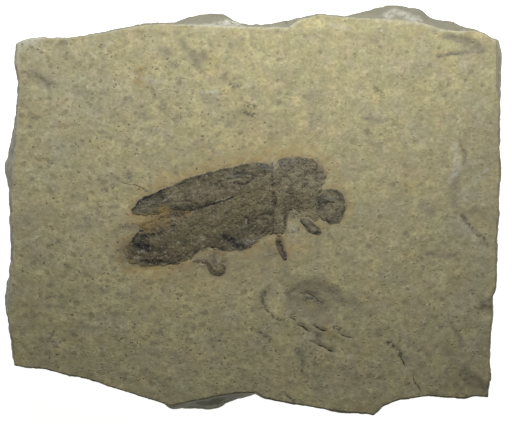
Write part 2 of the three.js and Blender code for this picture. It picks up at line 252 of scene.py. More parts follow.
# %% The plates' plan
PLATES = {
    "left_wing_case": {
        "back": [(-16.2, 0), (-15.3, 1.25), (-13.5, 2.1), (-12.1, 2.85), (-10.5, 3.35), (-8.5, 4.3),
                 (-6.2, 4.9), (-3, 5.65), (0, 6.3), (2.5, 6.25)],
        "front": [(-16.1, -0.35), (-14.6, -0.6), (-12.6, -0.25), (-11.3, 0.3), (-8, 0.15), (-5, 1.1),
                  (-1.5, 2.25), (2.5, 3.5)],
        "dome": 0.3, "ribs": 7,
    },
    "right_wing_case": {
        "back": [(-17.2, -4.9), (-16.3, -3.95), (-15, -3), (-13.5, -3.35), (-12, -3), (-10.6, -2.3),
                 (-9.2, -1.55), (-8, -0.5), (-5, 0.75), (-1.5, 1.9), (2.5, 3.15)],
        "front": [(-17.3, -5.3), (-16.4, -6.9), (-15, -7.3), (-12, -7.3), (-9.5, -6.8), (-8, -6.05),
                  (-6.8, -5.1), (-4.8, -4.6), (-2.6, -2.7), (-0.3, -0.9), (2.5, 0.4)],
        "dome": 0.28, "ribs": 7,
    },
    "abdomen": {
        "back": [(-15.3, -2.1), (-14.3, -1.5), (-13.1, -1.1), (-12.1, -0.6), (-11.2, -0.1), (-9.2, -0.3),
                 (-8.5, -0.25)],
        "front": [(-15, -2.5), (-13.6, -3), (-12.1, -2.65), (-10.9, -2.1), (-9.6, -1.4), (-8.5, -0.6)],
        "dome": 0.08,
    },
    "hind_chest": {
        "back": [(-5.2, -4.95), (-4.5, -4.75), (-2.4, -2.9), (-0.1, -1.15), (2.5, 0)],
        "front": [(-5.1, -5.2), (-2.3, -5.3), (-0.7, -5), (0.5, -4.1), (1.4, -3.4), (2.5, -2.95)],
        "dome": 0.25,
    },
    "middle_chest": {
        "back": [(2.85, 0.45), (3.8, 0.3), (4.7, 0)],
        "front": [(2.85, -2.9), (3.6, -3), (4.3, -2.8)],
        "dome": 0.15,
    },
    "pronotum": {
        "back": [(2.85, 5.2), (3.5, 6.65), (4.5, 6.95), (6, 7.05), (7.5, 6.8), (8.7, 6.25), (9.5, 5.3),
                 (9.65, 4.6)],
        "front": [(2.85, 0.8), (4, 0.65), (5.4, 0.2), (6.6, 0), (7.6, 0.25), (8.25, 1.2), (8.75, 2.4),
                  (9.3, 3.7)],
        "dome": 0.34,
    },
    "neck": {
        "back": [(6.3, -0.45), (7, -0.25), (7.8, -0.1), (8.4, 0.1)],
        "front": [(6.5, -0.75), (7.6, -0.85), (8.4, -1.45), (8.95, -1.1)],
        "dome": 0.08,
    },
    "head": {
        "back": [(8.6, 1.1), (9.15, 2.15), (10.1, 2.75), (11.1, 2.7), (11.9, 2.25), (12.35, 1.2)],
        "front": [(8.65, 0.4), (9.2, -0.7), (9.9, -1.6), (10.8, -1.85), (11.8, -1.05), (12.3, 0.3)],
        "dome": 0.32,
    },
    "front_leg": {
        "back": [(6.3, -1.15), (7.2, -1.15), (8, -1.75), (8.6, -2.35), (9.1, -3)],
        "front": [(6.3, -1.4), (6.9, -2.3), (7.5, -2.8), (8.2, -3.1), (8.95, -3.2)],
        "dome": 0.2,
    },
    "middle_leg": {
        "back": [(3.65, -3.35), (3.75, -4.1), (4.05, -4.9), (4.4, -5.8), (4.35, -6.5)],
        "front": [(3.4, -3.35), (3.1, -4), (3.3, -4.9), (3.65, -5.8), (4.2, -6.6)],
        "dome": 0.14,
    },
    "hind_leg": {
        "back": [(-6.2, -6.6), (-5.4, -7.3), (-5, -7.9), (-4.6, -8), (-4.3, -7.7), (-4.2, -7)],
        "front": [(-6.5, -6.9), (-5.9, -7.8), (-5.4, -8.5), (-4.7, -8.75), (-3.9, -8.4), (-3.6, -7.3)],
        "dome": 0.1,
    },
    "hind_foot": {
        "back": [(-8.1, -6.75), (-7.5, -6.72), (-6.9, -6.65)],
        "front": [(-8.1, -7), (-7.5, -6.97), (-6.9, -6.9)],
        "dome": 0.05,
    },
}
FILM_CELL = 0.1
FEWEST_CELLS = 4
MARGIN_STEPS = 200


def plate_grid(plate, skirt=0.0):
    """A plate's outline as a grid of places with small cells, skirt millimetres wider all round."""
    margins = [smooth_line(plate[side], MARGIN_STEPS) for side in ("back", "front")]
    length = max(np.linalg.norm(np.diff(margin, axis=0), axis=1).sum() for margin in margins)
    width = np.linalg.norm(margins[0] - margins[1], axis=1).max()
    columns, rows = (max(FEWEST_CELLS, round(size / FILM_CELL)) for size in (length, width))
    back, front = smooth_line(plate["back"], columns), smooth_line(plate["front"], columns)
    ring = np.vstack([front, back[::-1]])
    ring = ring + skirt * outwards(ring)
    front, back = ring[:columns + 1], ring[:columns:-1]
    v = np.linspace(0, 1, rows + 1)[:, None, None]
    return (1 - v) * front + v * back


OUTLINES = {}
for name, plate in PLATES.items():
    grid = plate_grid(plate)
    OUTLINES[name] = np.vstack([grid[0], grid[-1, ::-1]])
print(len(OUTLINES), "plates, the longest outline with", max(map(len, OUTLINES.values())), "points")

# %% [markdown]
# ## The lie of the bedding face
#
# A bedding face is an old lake floor: nearly flat, with slow swells, a few hollows where something
# was pressed in or has flaked off, and cracks and creases. Swells and hollows are the model's own.
# Creases are strokes: a list of points with a width and a depth, so that each one is cut where the
# real one is.

# %% Swells, hollows and creases
# A swell: height and two wavelengths. A hollow: middle, half sizes, turn and depth.
# A crease: width, depth and line. An unevenness: size, octaves and seed.
SWELLS = [(0.07, 38, 46), (0.04, 18, 23)]
HOLLOWS = [
    ((8.5, -12.1), (4.8, 3.3), -15, 0.32),
    ((28, 22.2), (3.4, 1.1), -20, 0.25),
    ((28.9, -25.2), (5.4, 3.4), -45, 0.42),
    ((29.8, -1.5), (2, 1.6), -42, 0.2),
    ((31.3, -13.6), (1.6, 1.1), 0, 0.2),
    ((-28.6, 16.9), (2.6, 0.9), -20, 0.14),
    ((25.9, -17.2), (1.9, 1.7), 20, -0.06),
    ((10.5, -17.8), (3.2, 1.5), -30, 0.15),
]
CREASES = [
    (0.32, 0.09, [(2.6, -10.2), (1.5, -10.9), (1.15, -11.8), (1.5, -12.9), (2.2, -13.8)]),
    (0.18, 0.12, [(1.4, -12.8), (2.1, -13.7)]),
    (0.22, 0.12, [(2.9, -14.5), (3.4, -14.6), (3.9, -14.7)]),
    (0.25, 0.09, [(4.5, -10.6), (4.9, -11.3), (5.1, -12)]),
    (0.3, 0.2, [(7, -11), (7.7, -11.15), (8.2, -11.6)]),
    (0.2, 0.14, [(8.5, -12), (9.2, -12.4)]),
    (0.16, 0.14, [(4.9, -14.3), (5.4, -14.4), (5.8, -14.7)]),
    (0.2, 0.28, [(5.9, -15.3), (6.6, -15.5), (7.2, -16), (7.7, -16.2)]),
    (0.18, 0.25, [(7.9, -15.4), (8.4, -15.5), (9.1, -15.95), (9.8, -16.1)]),
    (0.2, 0.36, [(8.3, -17.7), (9.4, -18.2), (10.2, -18.7), (10.9, -18.9)]),
    (0.2, 0.14, [(7.5, -17.5), (8.3, -17.6)]),
    (0.18, 0.2, [(11.4, -16.4), (12.3, -16.8), (13.4, -17.1)]),
    (0.14, 0.12, [(11.7, -18.4), (12.2, -18.8)]),
    (0.22, 0.09, [(17.6, -17.7), (18.4, -17.5), (19.1, -18.4), (19.8, -19.6)]),
    (0.22, 0.24, [(19.5, -19.1), (20, -20.1), (20.3, -20.8)]),
    (0.2, 0.16, [(21.4, -21.7), (21.5, -22.8), (22.1, -23.7), (22.3, -24.4)]),
    (0.2, 0.16, [(4.2, -24.4), (5, -25.1), (5.5, -25.8)]),
    (0.25, 0.09, [(27.9, -0.7), (28.5, -1.6), (29.8, -3), (31.3, -4.6)]),
    (0.16, 0.09, [(23.3, -5.9), (24.5, -6.1), (26, -6.1), (27.2, -5.9)]),
    (0.3, 0.09, [(26.3, -15.4), (27.1, -16.4), (27.6, -17.2), (27.7, -18)]),
    (0.3, 0.09, [(23.9, -18.2), (25.2, -18.7), (26.2, -19.2)]),
    (0.25, 0.09, [(28.9, -17.5), (29.7, -16.9), (30.3, -16.3), (31.2, -16.7)]),
    (0.25, 0.09, [(29.2, -10.9), (30.3, -12.2), (31, -12.5), (31.7, -12)]),
    (0.35, 0.09, [(24.7, 20.5), (27, 20.9), (29.6, 21.3), (30.9, 21.3)]),
    (0.25, 0.09, [(27.7, 9.2), (28.2, 7.7), (28, 6.2)]),
    (0.45, 0.09, [(-9.9, 22.9), (-8.5, 21.1), (-7.4, 19.5), (-6.6, 18.3)]),
    (0.2, 0.09, [(-31.2, 18), (-29.8, 18.5), (-28.9, 18.2), (-27.9, 17.3), (-26.5, 16.7)]),
    (0.2, 0.07, [(-30.9, 14.5), (-30.2, 13.2), (-29.2, 12.1), (-28.3, 12.4)]),
    (0.2, 0.08, [(16.3, 16.3), (16.8, 15.9), (17.4, 15.2)]),
    (0.15, 0.08, [(14.6, 12.1), (18.5, 12.1)]),
    (0.15, 0.05, [(20, 10.1), (23.5, 9.5)]),
    (0.25, 0.09, [(-1.5, 13.3), (-0.6, 12.7), (0.2, 12.9)]),
    (0.14, 0.08, [(-20.6, 14.9), (-20.4, 13.4)]),
]
CREASE_SHARE = 0.45
WANDER = 0.12
UNEVEN = [(9, 2, 1), (2.4, 3, 2)]
UNEVEN_HEIGHT = 0.05
print(len(HOLLOWS), "hollows and", len(CREASES), "creases drawn")

# %% Height of the bedding face
def bedding_height(places):
    """Height of the bedding face over the underside at each place, in millimetres."""
    x, y = places.T
    height = np.full(len(places), float(THICKNESS))
    for swell, along, across in SWELLS:
        height += swell * np.sin(math.tau * x / along) * np.cos(math.tau * y / across)
    for (cx, cy), (rx, ry), turn, depth in HOLLOWS:
        c, s = math.cos(math.radians(turn)), math.sin(math.radians(turn))
        u, v = ((x - cx) * c + (y - cy) * s) / rx, ((y - cy) * c - (x - cx) * s) / ry
        height -= depth * rise(1 - u * u - v * v, 0, 1)
    height -= CREASE_SHARE * strokes_at(places, CREASES, WANDER)
    for size, octaves, seed in UNEVEN:
        height += UNEVEN_HEIGHT * ripple(places, size, octaves, seed)
    return height


print("bedding face at the middle:", bedding_height(np.zeros((1, 2))).round(2)[0], "mm up")

# %% [markdown]
# ## Marks in the stone
#
# The stone is stained as well as creased. Iron has spread out of the beetle as a tan halo, scraps
# of the film lie loose round it, dirt and painted shade darken the cracks and creases, patches are
# dull, some dark patches are painted shadow in hollows and on steps, and the broken edges are
# bruised white, with painted highlight along the back and left rims. Other strokes say where the
# stone is warmer or greyer, and where it is specky or littered with scraps. A picture could be
# wrapped over the stone, but it would hold the light of one photograph. So each stain and each
# painted shade is drawn with the same strokes as the creases, its strength is kept on the mesh as
# an attribute, and the finish reads that attribute.

# %% Dark spots, by their width
DARK_SPOTS = {
    0.25: [(-16.4, 14.7), (-12.7, 14.9), (-19.4, 10.3), (-19.6, 2.7), (-21.5, 3.5)],
    0.3: [
        (-18, 21.6), (-13.3, 20.2), (-12.2, 19.3), (-2.5, 12.1), (-13.8, 10.6), (-23.4, 11.2),
        (-7.4, 23.9), (-1, 20.4), (26.1, -14), (23.7, -17.2), (17.7, -19.7), (-14.2, -11.6),
        (-9.7, -12.8), (-13, -14.6), (-7.6, -15.6), (-12.5, -25.1), (-12.6, -22.9), (-22.9, -5.9),
    ],
    0.35: [
        (-17.1, 22.3), (-20, 22), (-14.8, 17.6), (-14.5, 18.8), (-12, 17.6), (-13.6, 17.1),
        (-3.9, 17.9), (-16.9, 15.7), (-4.9, 11.7), (-12.8, 10.4), (-14.7, 9.2), (-21.8, 10.5),
        (-22.8, 9.1), (-10.1, 4.8), (-3.4, 20.8), (16.7, -16.3), (24.4, -11.2), (25.5, -13.1),
        (23.4, -14.1), (21, -17.5), (22.6, -18.3), (20.5, -19.9), (27.7, -23.8), (-22.8, -14.9),
        (-17.5, -9.2), (-18.4, -14.1), (-3.1, -13), (-30.9, -16.4), (-16.9, -22.6), (-26.9, -9.8),
    ],
    0.4: [
        (-9.8, 17.4), (-21.9, 15.5), (-12.1, 13.3), (-14.1, 12.2), (-10.1, 11.8), (-7.5, 8.9),
        (-13.2, 8.6), (-26.8, 4.7), (-24.8, -7.5), (-26, -4.2), (-10.6, -19.9), (-5.5, -20), (-18, -18),
    ],
    0.45: [
        (-25, 22.3), (-22, -5.3), (-10.6, 19.3), (-19.9, 15.7), (-14.8, 13), (-3.3, 11.3), (-16.6, 4.6),
        (-2.9, 22.1), (23.5, -19.4), (-26.8, -11.5), (-14.6, -21.3), (-23.5, -18.2),
    ],
    0.5: [
        (-11.9, 21.4), (-12, 14), (-6.7, 20.6), (22.4, -20.5), (-25.2, -13.1), (-20, -10.9),
        (-15.6, -12),
    ],
    0.55: [(-23.1, 15.8)],
    0.6: [(-2.4, 16.6)],
}
print(sum(map(len, DARK_SPOTS.values())), "dark spots drawn")

# %% Rust
# Each stain: width, strength and line.
STAINS = {}
STAINS["rust"] = [
    (1.1, 1, [(-14.3, -2.3), (-12.5, -1.2), (-10.5, -0.8)]),
    (0.9, 0.8, [(-16.3, -3.2), (-17.6, -4.6), (-17.9, -6.2), (-16.8, -7.6)]),
    (0.5, 0.7, [(-7.4, -5.4), (-3.7, -5.9)]),
    (0.35, 0.9, [(-5.3, -6.8), (-4.9, -7.4), (-4.4, -7.2)]),
    (0.9, 0.8, [(-1, -5.8), (1, -5), (3, -4.2)]),
    (1.2, 0.9, [(-15.6, -1.4), (-13, -0.6), (-11.6, 0.1)]),
    (1.5, 0.45, [(4, -4.8), (7, -4.8)]),
    (1, 0.5, [(-13, 3.2), (-11, 4.2), (-6, 5.9), (0, 7.1), (3, 7.9), (8, 7.8), (10.5, 6), (11, 4)]),
    (0.8, 0.35, [(-16.5, 1.5), (-15, 2.8)]),
    (3, 0.15, [(-5, 8), (8, 9)]),
    (0.7, 0.6, [(-16, -8), (-12, -8.1), (-8.5, -7.2)]),
    (0.7, 0.5, [(12.6, 2.6), (13.2, 1.2), (12.8, -0.6)]),
    (0.6, 0.4, [(8.7, -1.6), (9.8, -2.6)]),
    (0.4, 1.5, [(9.9, -14.7), (10, -16.6)]),
    (0.5, 2, [(-15, 18.6), (-15.1, 17.2)]),
    (2, 0.35, [(-14, -9.3), (-6, -9.3), (2, -6.6)]),
    (0.7, 0.3, [(-31, 17.4), (-28.9, 16.9)]),
    (1.1, 0.35, [(20.4, 4.8), (20.8, 3.6)]),
    (0.9, 0.3, [(29.8, -2), (31, -2.6)]),
    (1.1, 0.6, [(7.6, -12.9), (8.8, -13.8)]),
    (0.4, 1.2, [(-17.1, -3.7), (-17.2, -4.7)]),
    (0.8, 0.35, [(29, 23.2), (31.4, 21.6)]),
    (1.2, 0.3, [(-5.5, 20.3), (-4.4, 18.6)]),
    (0.9, 0.35, [(-12.8, 5.4), (-11.2, 4.8)]),
]
print(len(STAINS["rust"]), "rust stains")

# %% Soot and painted shade
STAINS["soot"] = [
    (0.5, 0.45, [(-17.3, -4.4), (-17.9, -5.6), (-17.2, -6.8)]),
    (0.35, 0.9, [(-2.8, 16.7), (-1.9, 16.5)]),
    (0.25, 0.7, [(-3.9, 17.9)]),
    (0.2, 0.9, [(-14.5, 18.7)]),
    (0.3, 0.9, [(-1.4, 13.2), (-0.6, 12.7), (0.2, 12.8)]),
    (0.2, 0.9, [(-19.7, 2.7), (-19.4, 2.7)]),
    (0.5, 0.45, [(-12.3, 13.8), (-11.7, 13.2)]),
    (0.3, 0.5, [(-15.1, 18.9), (-15.3, 17.3)]),
    (0.32, 1, [(0.7, -16.2), (1.4, -16.7)]),
    (0.28, 0.9, [(1.8, -17), (2.2, -17.4)]),
    (0.36, 1.7, [(7.1, -11), (8.1, -11.2), (8.2, -11.8)]),
    (0.32, 1.5, [(8.6, -12.1), (9.3, -12.4)]),
    # Darkening along these nine creases: painted shade, and dirt in them.
    (0.24, 0.9, [(2.3, -10.3), (1.4, -11), (1.3, -12.3), (2.1, -13.6), (3, -14.4), (3.9, -14.7)]),
    (0.16, 1.4, [(17.7, -17.6), (18.4, -17.5), (19.1, -18.4), (19.7, -19.5)]),
    (0.22, 1.1, [(27.9, -0.7), (28.5, -1.6), (29.8, -3), (31.3, -4.6)]),
    (0.22, 0.6, [(29.2, -10.9), (30.3, -12.2), (31, -12.5)]),
    (0.22, 0.6, [(27.7, 9.2), (28.2, 7.7), (28, 6.2)]),
    (0.2, 0.6, [(16.3, 16.3), (17.4, 15.2)]),
    (0.18, 0.8, [(24.7, 20.4), (27.6, 20.9), (30.6, 21.3)]),
    (0.25, 0.5, [(-30.9, 18), (-29.6, 18.4), (-28.6, 17.9), (-27.4, 16.9), (-26.4, 16.7)]),
    (0.25, 0.45, [(-30.9, 14.4), (-30.1, 13.1), (-29.3, 12.2), (-28.3, 12.3)]),
    (0.2, 0.5, [(-5.3, 8.2), (-5.8, 6.8)]),
    (0.5, 0.4, [(5.9, -18.7), (6.6, -19.6)]),
    (0.4, 0.7, [(4.9, -0.2), (5.3, -0.4), (5.7, -0.9)]),
    (0.25, 1, [(5.2, -2.95), (5.7, -2.85), (6.1, -2.55)]),
    (0.4, 1, [(7.1, -11.9), (7.9, -11.9)]),
    (0.35, 0.8, [(-0.7, 13.9), (0.1, 13.8)]),
    (0.35, 0.6, [(-15.2, 2.9), (-14.4, 2.5)]),
    (0.4, 0.6, [(-16.8, -2), (-16, -2.2)]),
    (0.35, 0.8, [(-7.4, -5.5), (-6.2, -5.2)]),
    (0.45, 0.5, [(6.9, -14), (8, -14.2)]),
    (0.2, 0.6, [(4.6, -10.8), (5.1, -12)]),
    (0.25, 0.8, [(6.5, -19.8), (6.6, -21.6)]),
    (0.3, 0.7, [(8.5, -16.4), (9, -17.3)]),
    (0.3, 1.6, [(10.9, -15.7), (11.5, -15.85)]),
    (0.25, 0.5, [(5.8, -18.6), (6, -19)]),
    (0.5, 0.4, [(-16.7, 4.7), (-16.1, 4.6)]),
    (0.4, 0.35, [(-18.7, 3.4), (-16.5, 4.5)]),
    (0.5, 0.5, [(-6.2, -6.9), (-5, -7.3), (-3.8, -6.7)]),
    (0.22, 0.7, [(-4.1, -6.7), (-4.15, -7.6)]),
    (0.42, 1.1, [(-5.3, -7), (-4.7, -7.7), (-4.4, -7.3)]),
    (0.3, 0.6, [(-5.4, -5.95), (-4.9, -6.45)]),
    (0.25, 0.5, [(-5.6, -6.1), (-4.8, -6.3)]),
    (0.35, 0.4, [(-4.9, -5.6), (-3.9, -6)]),
    (0.3, 0.4, [(-6.2, -5.8), (-5.4, -6.2)]),
    (0.35, 0.3, [(4.4, -2.9), (4.4, -1.2), (5.6, -0.8)]),
    (0.25, 0.35, [(10, -1.9), (10, -3.3), (10.6, -4.3)]),
    (0.3, 0.4, [(-18.3, -2.7), (-17.6, -2.2)]),
    (0.3, 0.45, [(-20.7, -0.3), (-20.2, -0.6)]),
    (0.35, 0.8, [(-9.4, 0), (-7.9, 0)]),
    (0.25, 0.7, [(-27.3, -4.8), (-26, -3.9)]),
    (0.3, 0.5, [(-10.4, 5), (-9.8, 4.9)]),
    (0.3, 0.4, [(16.5, -15.9), (16.9, -16.6)]),
]
print(len(STAINS["soot"]), "strokes of soot")

# %% Dull patches and painted shade
SPOT_STRENGTH = 0.9
STAINS["dull"] = [
    # Painted shadow on the upper wall of the hollow at (8.5, -12.1), and painted shade over its floor.
    (0.7, 0.9, [
        (5.6, -12.6), (5.7, -11), (6.8, -9.9), (7.8, -9.6), (8.7, -10), (9.4, -10.6), (11, -11.3),
    ]),
    (0.9, 0.9, [(10.6, -11.1), (12.6, -12.3), (14.2, -13)]),
    (1.8, 0.55, [(7.2, -12), (9.6, -13.2)]),
    (0.9, 1, [(6.8, -13.8), (8.2, -14.3), (10.4, -13.8)]),
    (0.5, 0.8, [(9, -14.8), (10.5, -15.2)]),
    (0.8, 0.8, [(-16.9, -2.3), (-15.8, -2.6)]),
    (0.9, 0.8, [(2, -5.6), (2.8, -6.3)]),
    (0.8, 1, [(22.9, 0.5), (23.8, -0.1)]),
    (0.6, 0.6, [(-10.7, 5.5), (-9.4, 5.8)]),
    (0.7, 0.8, [(5.2, -11.4), (5.5, -13.4)]),
    (0.6, 0.5, [(4.2, -8.2), (4.6, -8.7)]),
    (4, 0.25, [(31, 8), (31, -8)]),
    (1.5, 0.4, [(-9, -8.2), (-2, -7), (2, -5.4)]),
    (0.3, 1.1, [(-5.2, -7.2), (-4.6, -7.4)]),
    (0.35, 1, [(-5.5, -6), (-4.8, -6.4)]),
    (0.4, 1, [(7, -11.1), (8.1, -11.3), (9, -12.1)]),
    (0.5, 1, [(-12.2, 21.4), (-11.4, 20.8)]),
    (0.5, 0.5, [(2.3, -10.3), (1.2, -11.2), (1.2, -12.2)]),
    (0.45, 0.9, [(8.5, -16.5), (9.1, -17.3)]),
    (0.8, 0.9, [(6, -18.9), (6.7, -20.2)]),
    (0.4, 0.5, [(10.4, -19), (10.7, -20)]),
    (0.7, 0.5, [(0.8, -16.3), (2.1, -17.3)]),
    # Painted shadow in the ditch behind the back right rim.
    (0.45, 1, [(25.6, 23.1), (27.2, 23.1), (28.8, 22.7), (30.4, 21.6)]),
    (0.45, 0.9, [(27, 22.6), (28.4, 22.3), (29.6, 21.5)]),
    (0.4, 0.8, [(14.9, 12.2), (18, 12)]),
    (0.8, 0.9, [(27.1, 4.4), (26.8, 1)]),
    (0.3, 0.5, [(28.1, 8.9), (28.2, 6.4)]),
    (0.5, 0.5, [(7.9, 15.6), (7.7, 10.8)]),
    (0.6, 0.7, [(16.3, 22.6), (17, 21.8)]),
    (1, 0.5, [(-29.2, 18), (-27, 17)]),
    (0.35, 0.8, [(-9.6, 22.4), (-7.6, 19.8), (-6.7, 18.4)]),
    (0.8, 0.5, [(-7.4, 20.9), (-6.9, 20.1)]),
    (0.8, 0.5, [(-6.2, 15.1), (-5.2, 14.6)]),
    (0.8, 0.5, [(4.5, -7), (4.4, -8.6)]),
    (0.7, 0.7, [(-17.2, -4.6), (-17.6, -6), (-16.6, -7.3)]),
    (0.5, 0.5, [(1.5, -8), (1.9, -8.8)]),
    # Painted shade on the wall of the step that falls away at the front right corner.
    (0.5, 0.7, [(26, -19.2), (27, -19.9), (28.4, -21), (29.8, -22.4), (30.9, -23.8)]),
    (1, 0.2, [(29.8, -22.9), (30.6, -24.2)]),
    # Painted shade, with some dirt, along these three creases.
    (0.3, 1, [(26.5, -15.6), (27.2, -16.5), (27.7, -17.4), (27.6, -18.4)]),
    (0.25, 1.1, [(23.3, -5.9), (24.5, -6.1), (26, -6.1), (27.2, -5.9)]),
    (0.4, 1, [(24.7, 20.5), (27.6, 21), (30.6, 21.4)]),
    (0.6, 1, [(5, -0.3), (5.8, -1.1)]),
    (0.3, 0.7, [(8.5, -3.8), (8.6, -5.8)]),
    (0.3, 0.8, [(-20.6, 14.9), (-20.4, 13.2)]),
    (0.6, 0.5, [(29.8, -17.6), (31.2, -17.4)]),
    (0.5, 0.6, [(30.4, -12.9), (31.6, -13.1)]),
    (0.8, 0.4, [(12.6, -22), (13.8, -23)]),
] + [(width, SPOT_STRENGTH, [place]) for width, places in DARK_SPOTS.items() for place in places]
print(len(STAINS["dull"]), "dull patches and spots")

# %% Bruises and painted highlight
STAINS["bruise"] = [
    (0.5, 0.45, [(17.8, 25.9), (18.9, 26.7), (20.6, 26), (22.2, 25.4)]),
    (0.3, 0.7, [(-4.8, 25), (-3.4, 25.1), (-2, 24.9)]),
    # Painted highlight: thin pale lines along the back rim, where the lamp catches its edge, with some
    # bruising.
    (0.16, 0.4, [(-10, 24.75), (-7, 24.65), (-2, 24.4), (4.7, 24.2)]),
    (0.16, 0.3, [(4.7, 24.2), (6.4, 25.3)]),
    (0.18, 0.3, [(16.3, 25.3), (22.1, 24.7), (26.1, 23.8), (28.3, 23.9)]),
    (0.3, 0.4, [(30.4, 4.9), (31.2, 5.3)]),
    (0.8, 0.15, [(-26.2, 6.2), (-25.7, 8.6)]),
    (0.5, 0.45, [(-31.6, 19.8), (-31.3, 22), (-28.6, 22.8)]),
    # Painted highlight along the whole left rim, with some bruising.
    (0.14, 0.6, [
        (-31.3, 15.2), (-31.8, 8), (-32.3, 0.5), (-32.1, -6.9), (-32.8, -13.9), (-31.9, -20.6),
    ]),
    (0.35, 0.4, [(27, 8.8), (27.3, 5.6), (26.4, 4)]),
    (0.3, 0.4, [(2.7, 6.5), (3, 6)]),
    (0.35, 0.35, [(4.9, -2.1), (5.6, -2.7)]),
    (0.7, 0.16, [(28, -2.2), (29.6, -4.1), (31, -5.6)]),
    (0.25, 0.3, [(27.4, 2.2), (28.3, 3), (29.4, 3.4), (30.9, 4.3)]),
    (0.3, 0.4, [(28, 1.4), (28.8, 1.9)]),
    (0.15, 0.9, [(-6.65, -6.3), (-6.5, -6.5)]),
    (0.12, 0.55, [(-6.8, 15.8), (-4.7, 15.8), (-4.4, 14.7)]),
    (0.3, 0.25, [(7.8, -17.2), (6.8, -16.9)]),
    (0.5, 0.3, [(10.6, 24.8), (12.4, 24.2)]),
    (0.3, 0.3, [(-16, 18), (-12, 17)]),
]
print(len(STAINS["bruise"]), "bruises")

# %% Tints, litter and specks
STAINS["warm"] = [
    (8, 0.6, [(-14, 6), (0, 10), (8, 12)]),
    (7, 0.5, [(-2, 20), (8, 20)]),
    (6, 0.5, [(8, -9), (17, -8)]),
    (6, 0.5, [(-20, -12), (-4, -14), (4, -20)]),
]
STAINS["grey"] = [
    (6, 1.1, [(-30, 22), (-22, 14)]),
    (3, 0.7, [(30, 6), (30, -8)]),
    (3, 0.8, [(31, -14), (30, -24)]),
    (3, 0.5, [(-28, 2), (-24, 10)]),
    (1.5, 0.6, [(-9, 15), (-12, 19)]),
]
STAINS["littered"] = [
    (0.45, 0.7, [(-6, -7), (-5.2, -7.6), (-4.6, -8.2)]),
    (0.5, 0.5, [(-5.2, -7.1), (-4.2, -7.2)]),
    (0.3, 0.4, [(-7, -5.9), (-5.4, -5.9)]),
    (0.35, 0.4, [(6.2, -0.4), (7.2, -0.9), (8.6, -1.2)]),
    (0.3, 0.4, [(4.9, -0.4), (4.9, -2.4)]),
    (0.4, 0.2, [(-17.9, -4.4), (-17.9, -6)]),
    (0.3, 0.5, [(-19.7, 2.7), (-19.4, 2.7)]),
    (0.35, 0.3, [(-17.6, -2.3), (-16.9, -2.6)]),
    (0.35, 0.3, [(7, -11), (9, -12.1)]),
]
STAINS["specky"] = [
    (9, 1, [(-22, 16), (-20, 0), (-22, -14), (-6, -16)]),
    (6, 0.8, [(-10, 18), (-4, 12)]),
    (4, 0.7, [(-17, 0), (-10, -9)]),
    (8, 0.8, [(4, -21), (14, -20), (24, -14)]),
]
for kind in ("warm", "grey", "littered", "specky"):
    print(len(STAINS[kind]), kind, "places")

# %% Strength of the stains and of the painted shade
CREASE_SHADE = 2.4


def stains_at(places):
    """Every stain's strength at each place, from 0 to 1, and the painted shade of the creases."""
    found = {name: np.clip(strokes_at(places, strokes), 0, 1) for name, strokes in STAINS.items()}
    # Painted shade: each crease darkened in step with its depth.
    found["shade"] = np.clip(CREASE_SHADE * strokes_at(places, CREASES, WANDER), 0, 1)
    return found


print(sum(map(len, STAINS.values())), "stains drawn")

# %% [markdown]
# ## The slab
#
# One closed mesh stands for the whole stone. Its bedding face is a grid stretched between the four
# edges, fine enough for every crease. Its sides are rings that go down from the rim: fine-grained
# limestone breaks bed by bed, so each bed steps in or out by its own amount, and grit roughens all
# of it. Displacing a box would be quicker, but its edges could not follow the real ones. The
# underside is coarser, because a flat face needs little.

# %% Helpers for meshes made of grids and rings
def grid_faces(columns, rows):
    """The square faces of a grid whose corners are numbered row by row, facing up."""
    corner = np.arange(rows)[:, None] * (columns + 1) + np.arange(columns)
    return np.stack([corner, corner + 1, corner + columns + 2, corner + columns + 1], -1).reshape(-1, 4)


def grid_edge(columns, rows):
    """The numbers of a grid's outer corners, anticlockwise from above."""
    numbers = np.arange((columns + 1) * (rows + 1)).reshape(rows + 1, columns + 1)
    return np.concatenate([numbers[0, :-1], numbers[:-1, -1], numbers[-1, :0:-1], numbers[:0:-1, 0]])


def wall_faces(upper, lower):
    """The square faces between a ring of corners and the ring below it, facing out."""
    return np.stack([upper, lower, np.roll(lower, -1), np.roll(upper, -1)], -1)


def stretched_grid(ring, columns, rows):
    """A grid of places between the four sides of a ring that starts at its front left corner."""
    front, right = ring[:columns + 1], ring[columns:columns + rows + 1]
    back = ring[columns + rows:2 * columns + rows + 1][::-1]
    left = np.vstack([ring[2 * columns + rows:], ring[:1]])[::-1]
    u = np.linspace(0, 1, columns + 1)[None, :, None]
    v = np.linspace(0, 1, rows + 1)[:, None, None]
    sides = (1 - v) * front + v * back + (1 - u) * left[:, None] + u * right[:, None]
    corners = (1 - u) * ((1 - v) * front[0] + v * back[0]) + u * ((1 - v) * front[-1] + v * back[-1])
    return (sides - corners).reshape(-1, 2)


print("3 by 2 cells have", len(grid_faces(3, 2)), "faces and", len(grid_edge(3, 2)), "corners on the edge")

# %% Helpers for pieces
def new_object(name, data):
    """A new object in the scene, at the origin, unturned and unscaled."""
    made = bpy.data.objects.new(name, data)
    bpy.context.scene.collection.objects.link(made)
    return made


def keep_mark(mesh, name, strengths):
    """Keeps one number for each corner of a mesh, which finishes and trees read by its name."""
    strengths = np.array(strengths, np.float32)
    mesh.attributes.new(name, "FLOAT", "POINT").data.foreach_set("value", strengths)


def new_piece(name, places, faces, material, marks):
    """A piece from its corners in millimetres, its faces, and the strength of each mark at each corner."""
    mesh = bpy.data.meshes.new(name)
    mesh.from_pydata((places * MM).tolist(), [], faces)
    for mark, strengths in marks.items():
        keep_mark(mesh, mark, strengths)
    mesh.shade_smooth()
    mesh.materials.append(material)
    return new_object(name, mesh)


print("piece helpers ready")

# %% The rim of the slab
SLAB_COLUMNS, SLAB_ROWS = 272, 224
NIBBLE = 0.05
REACH_BLUR = range(-2, 3)


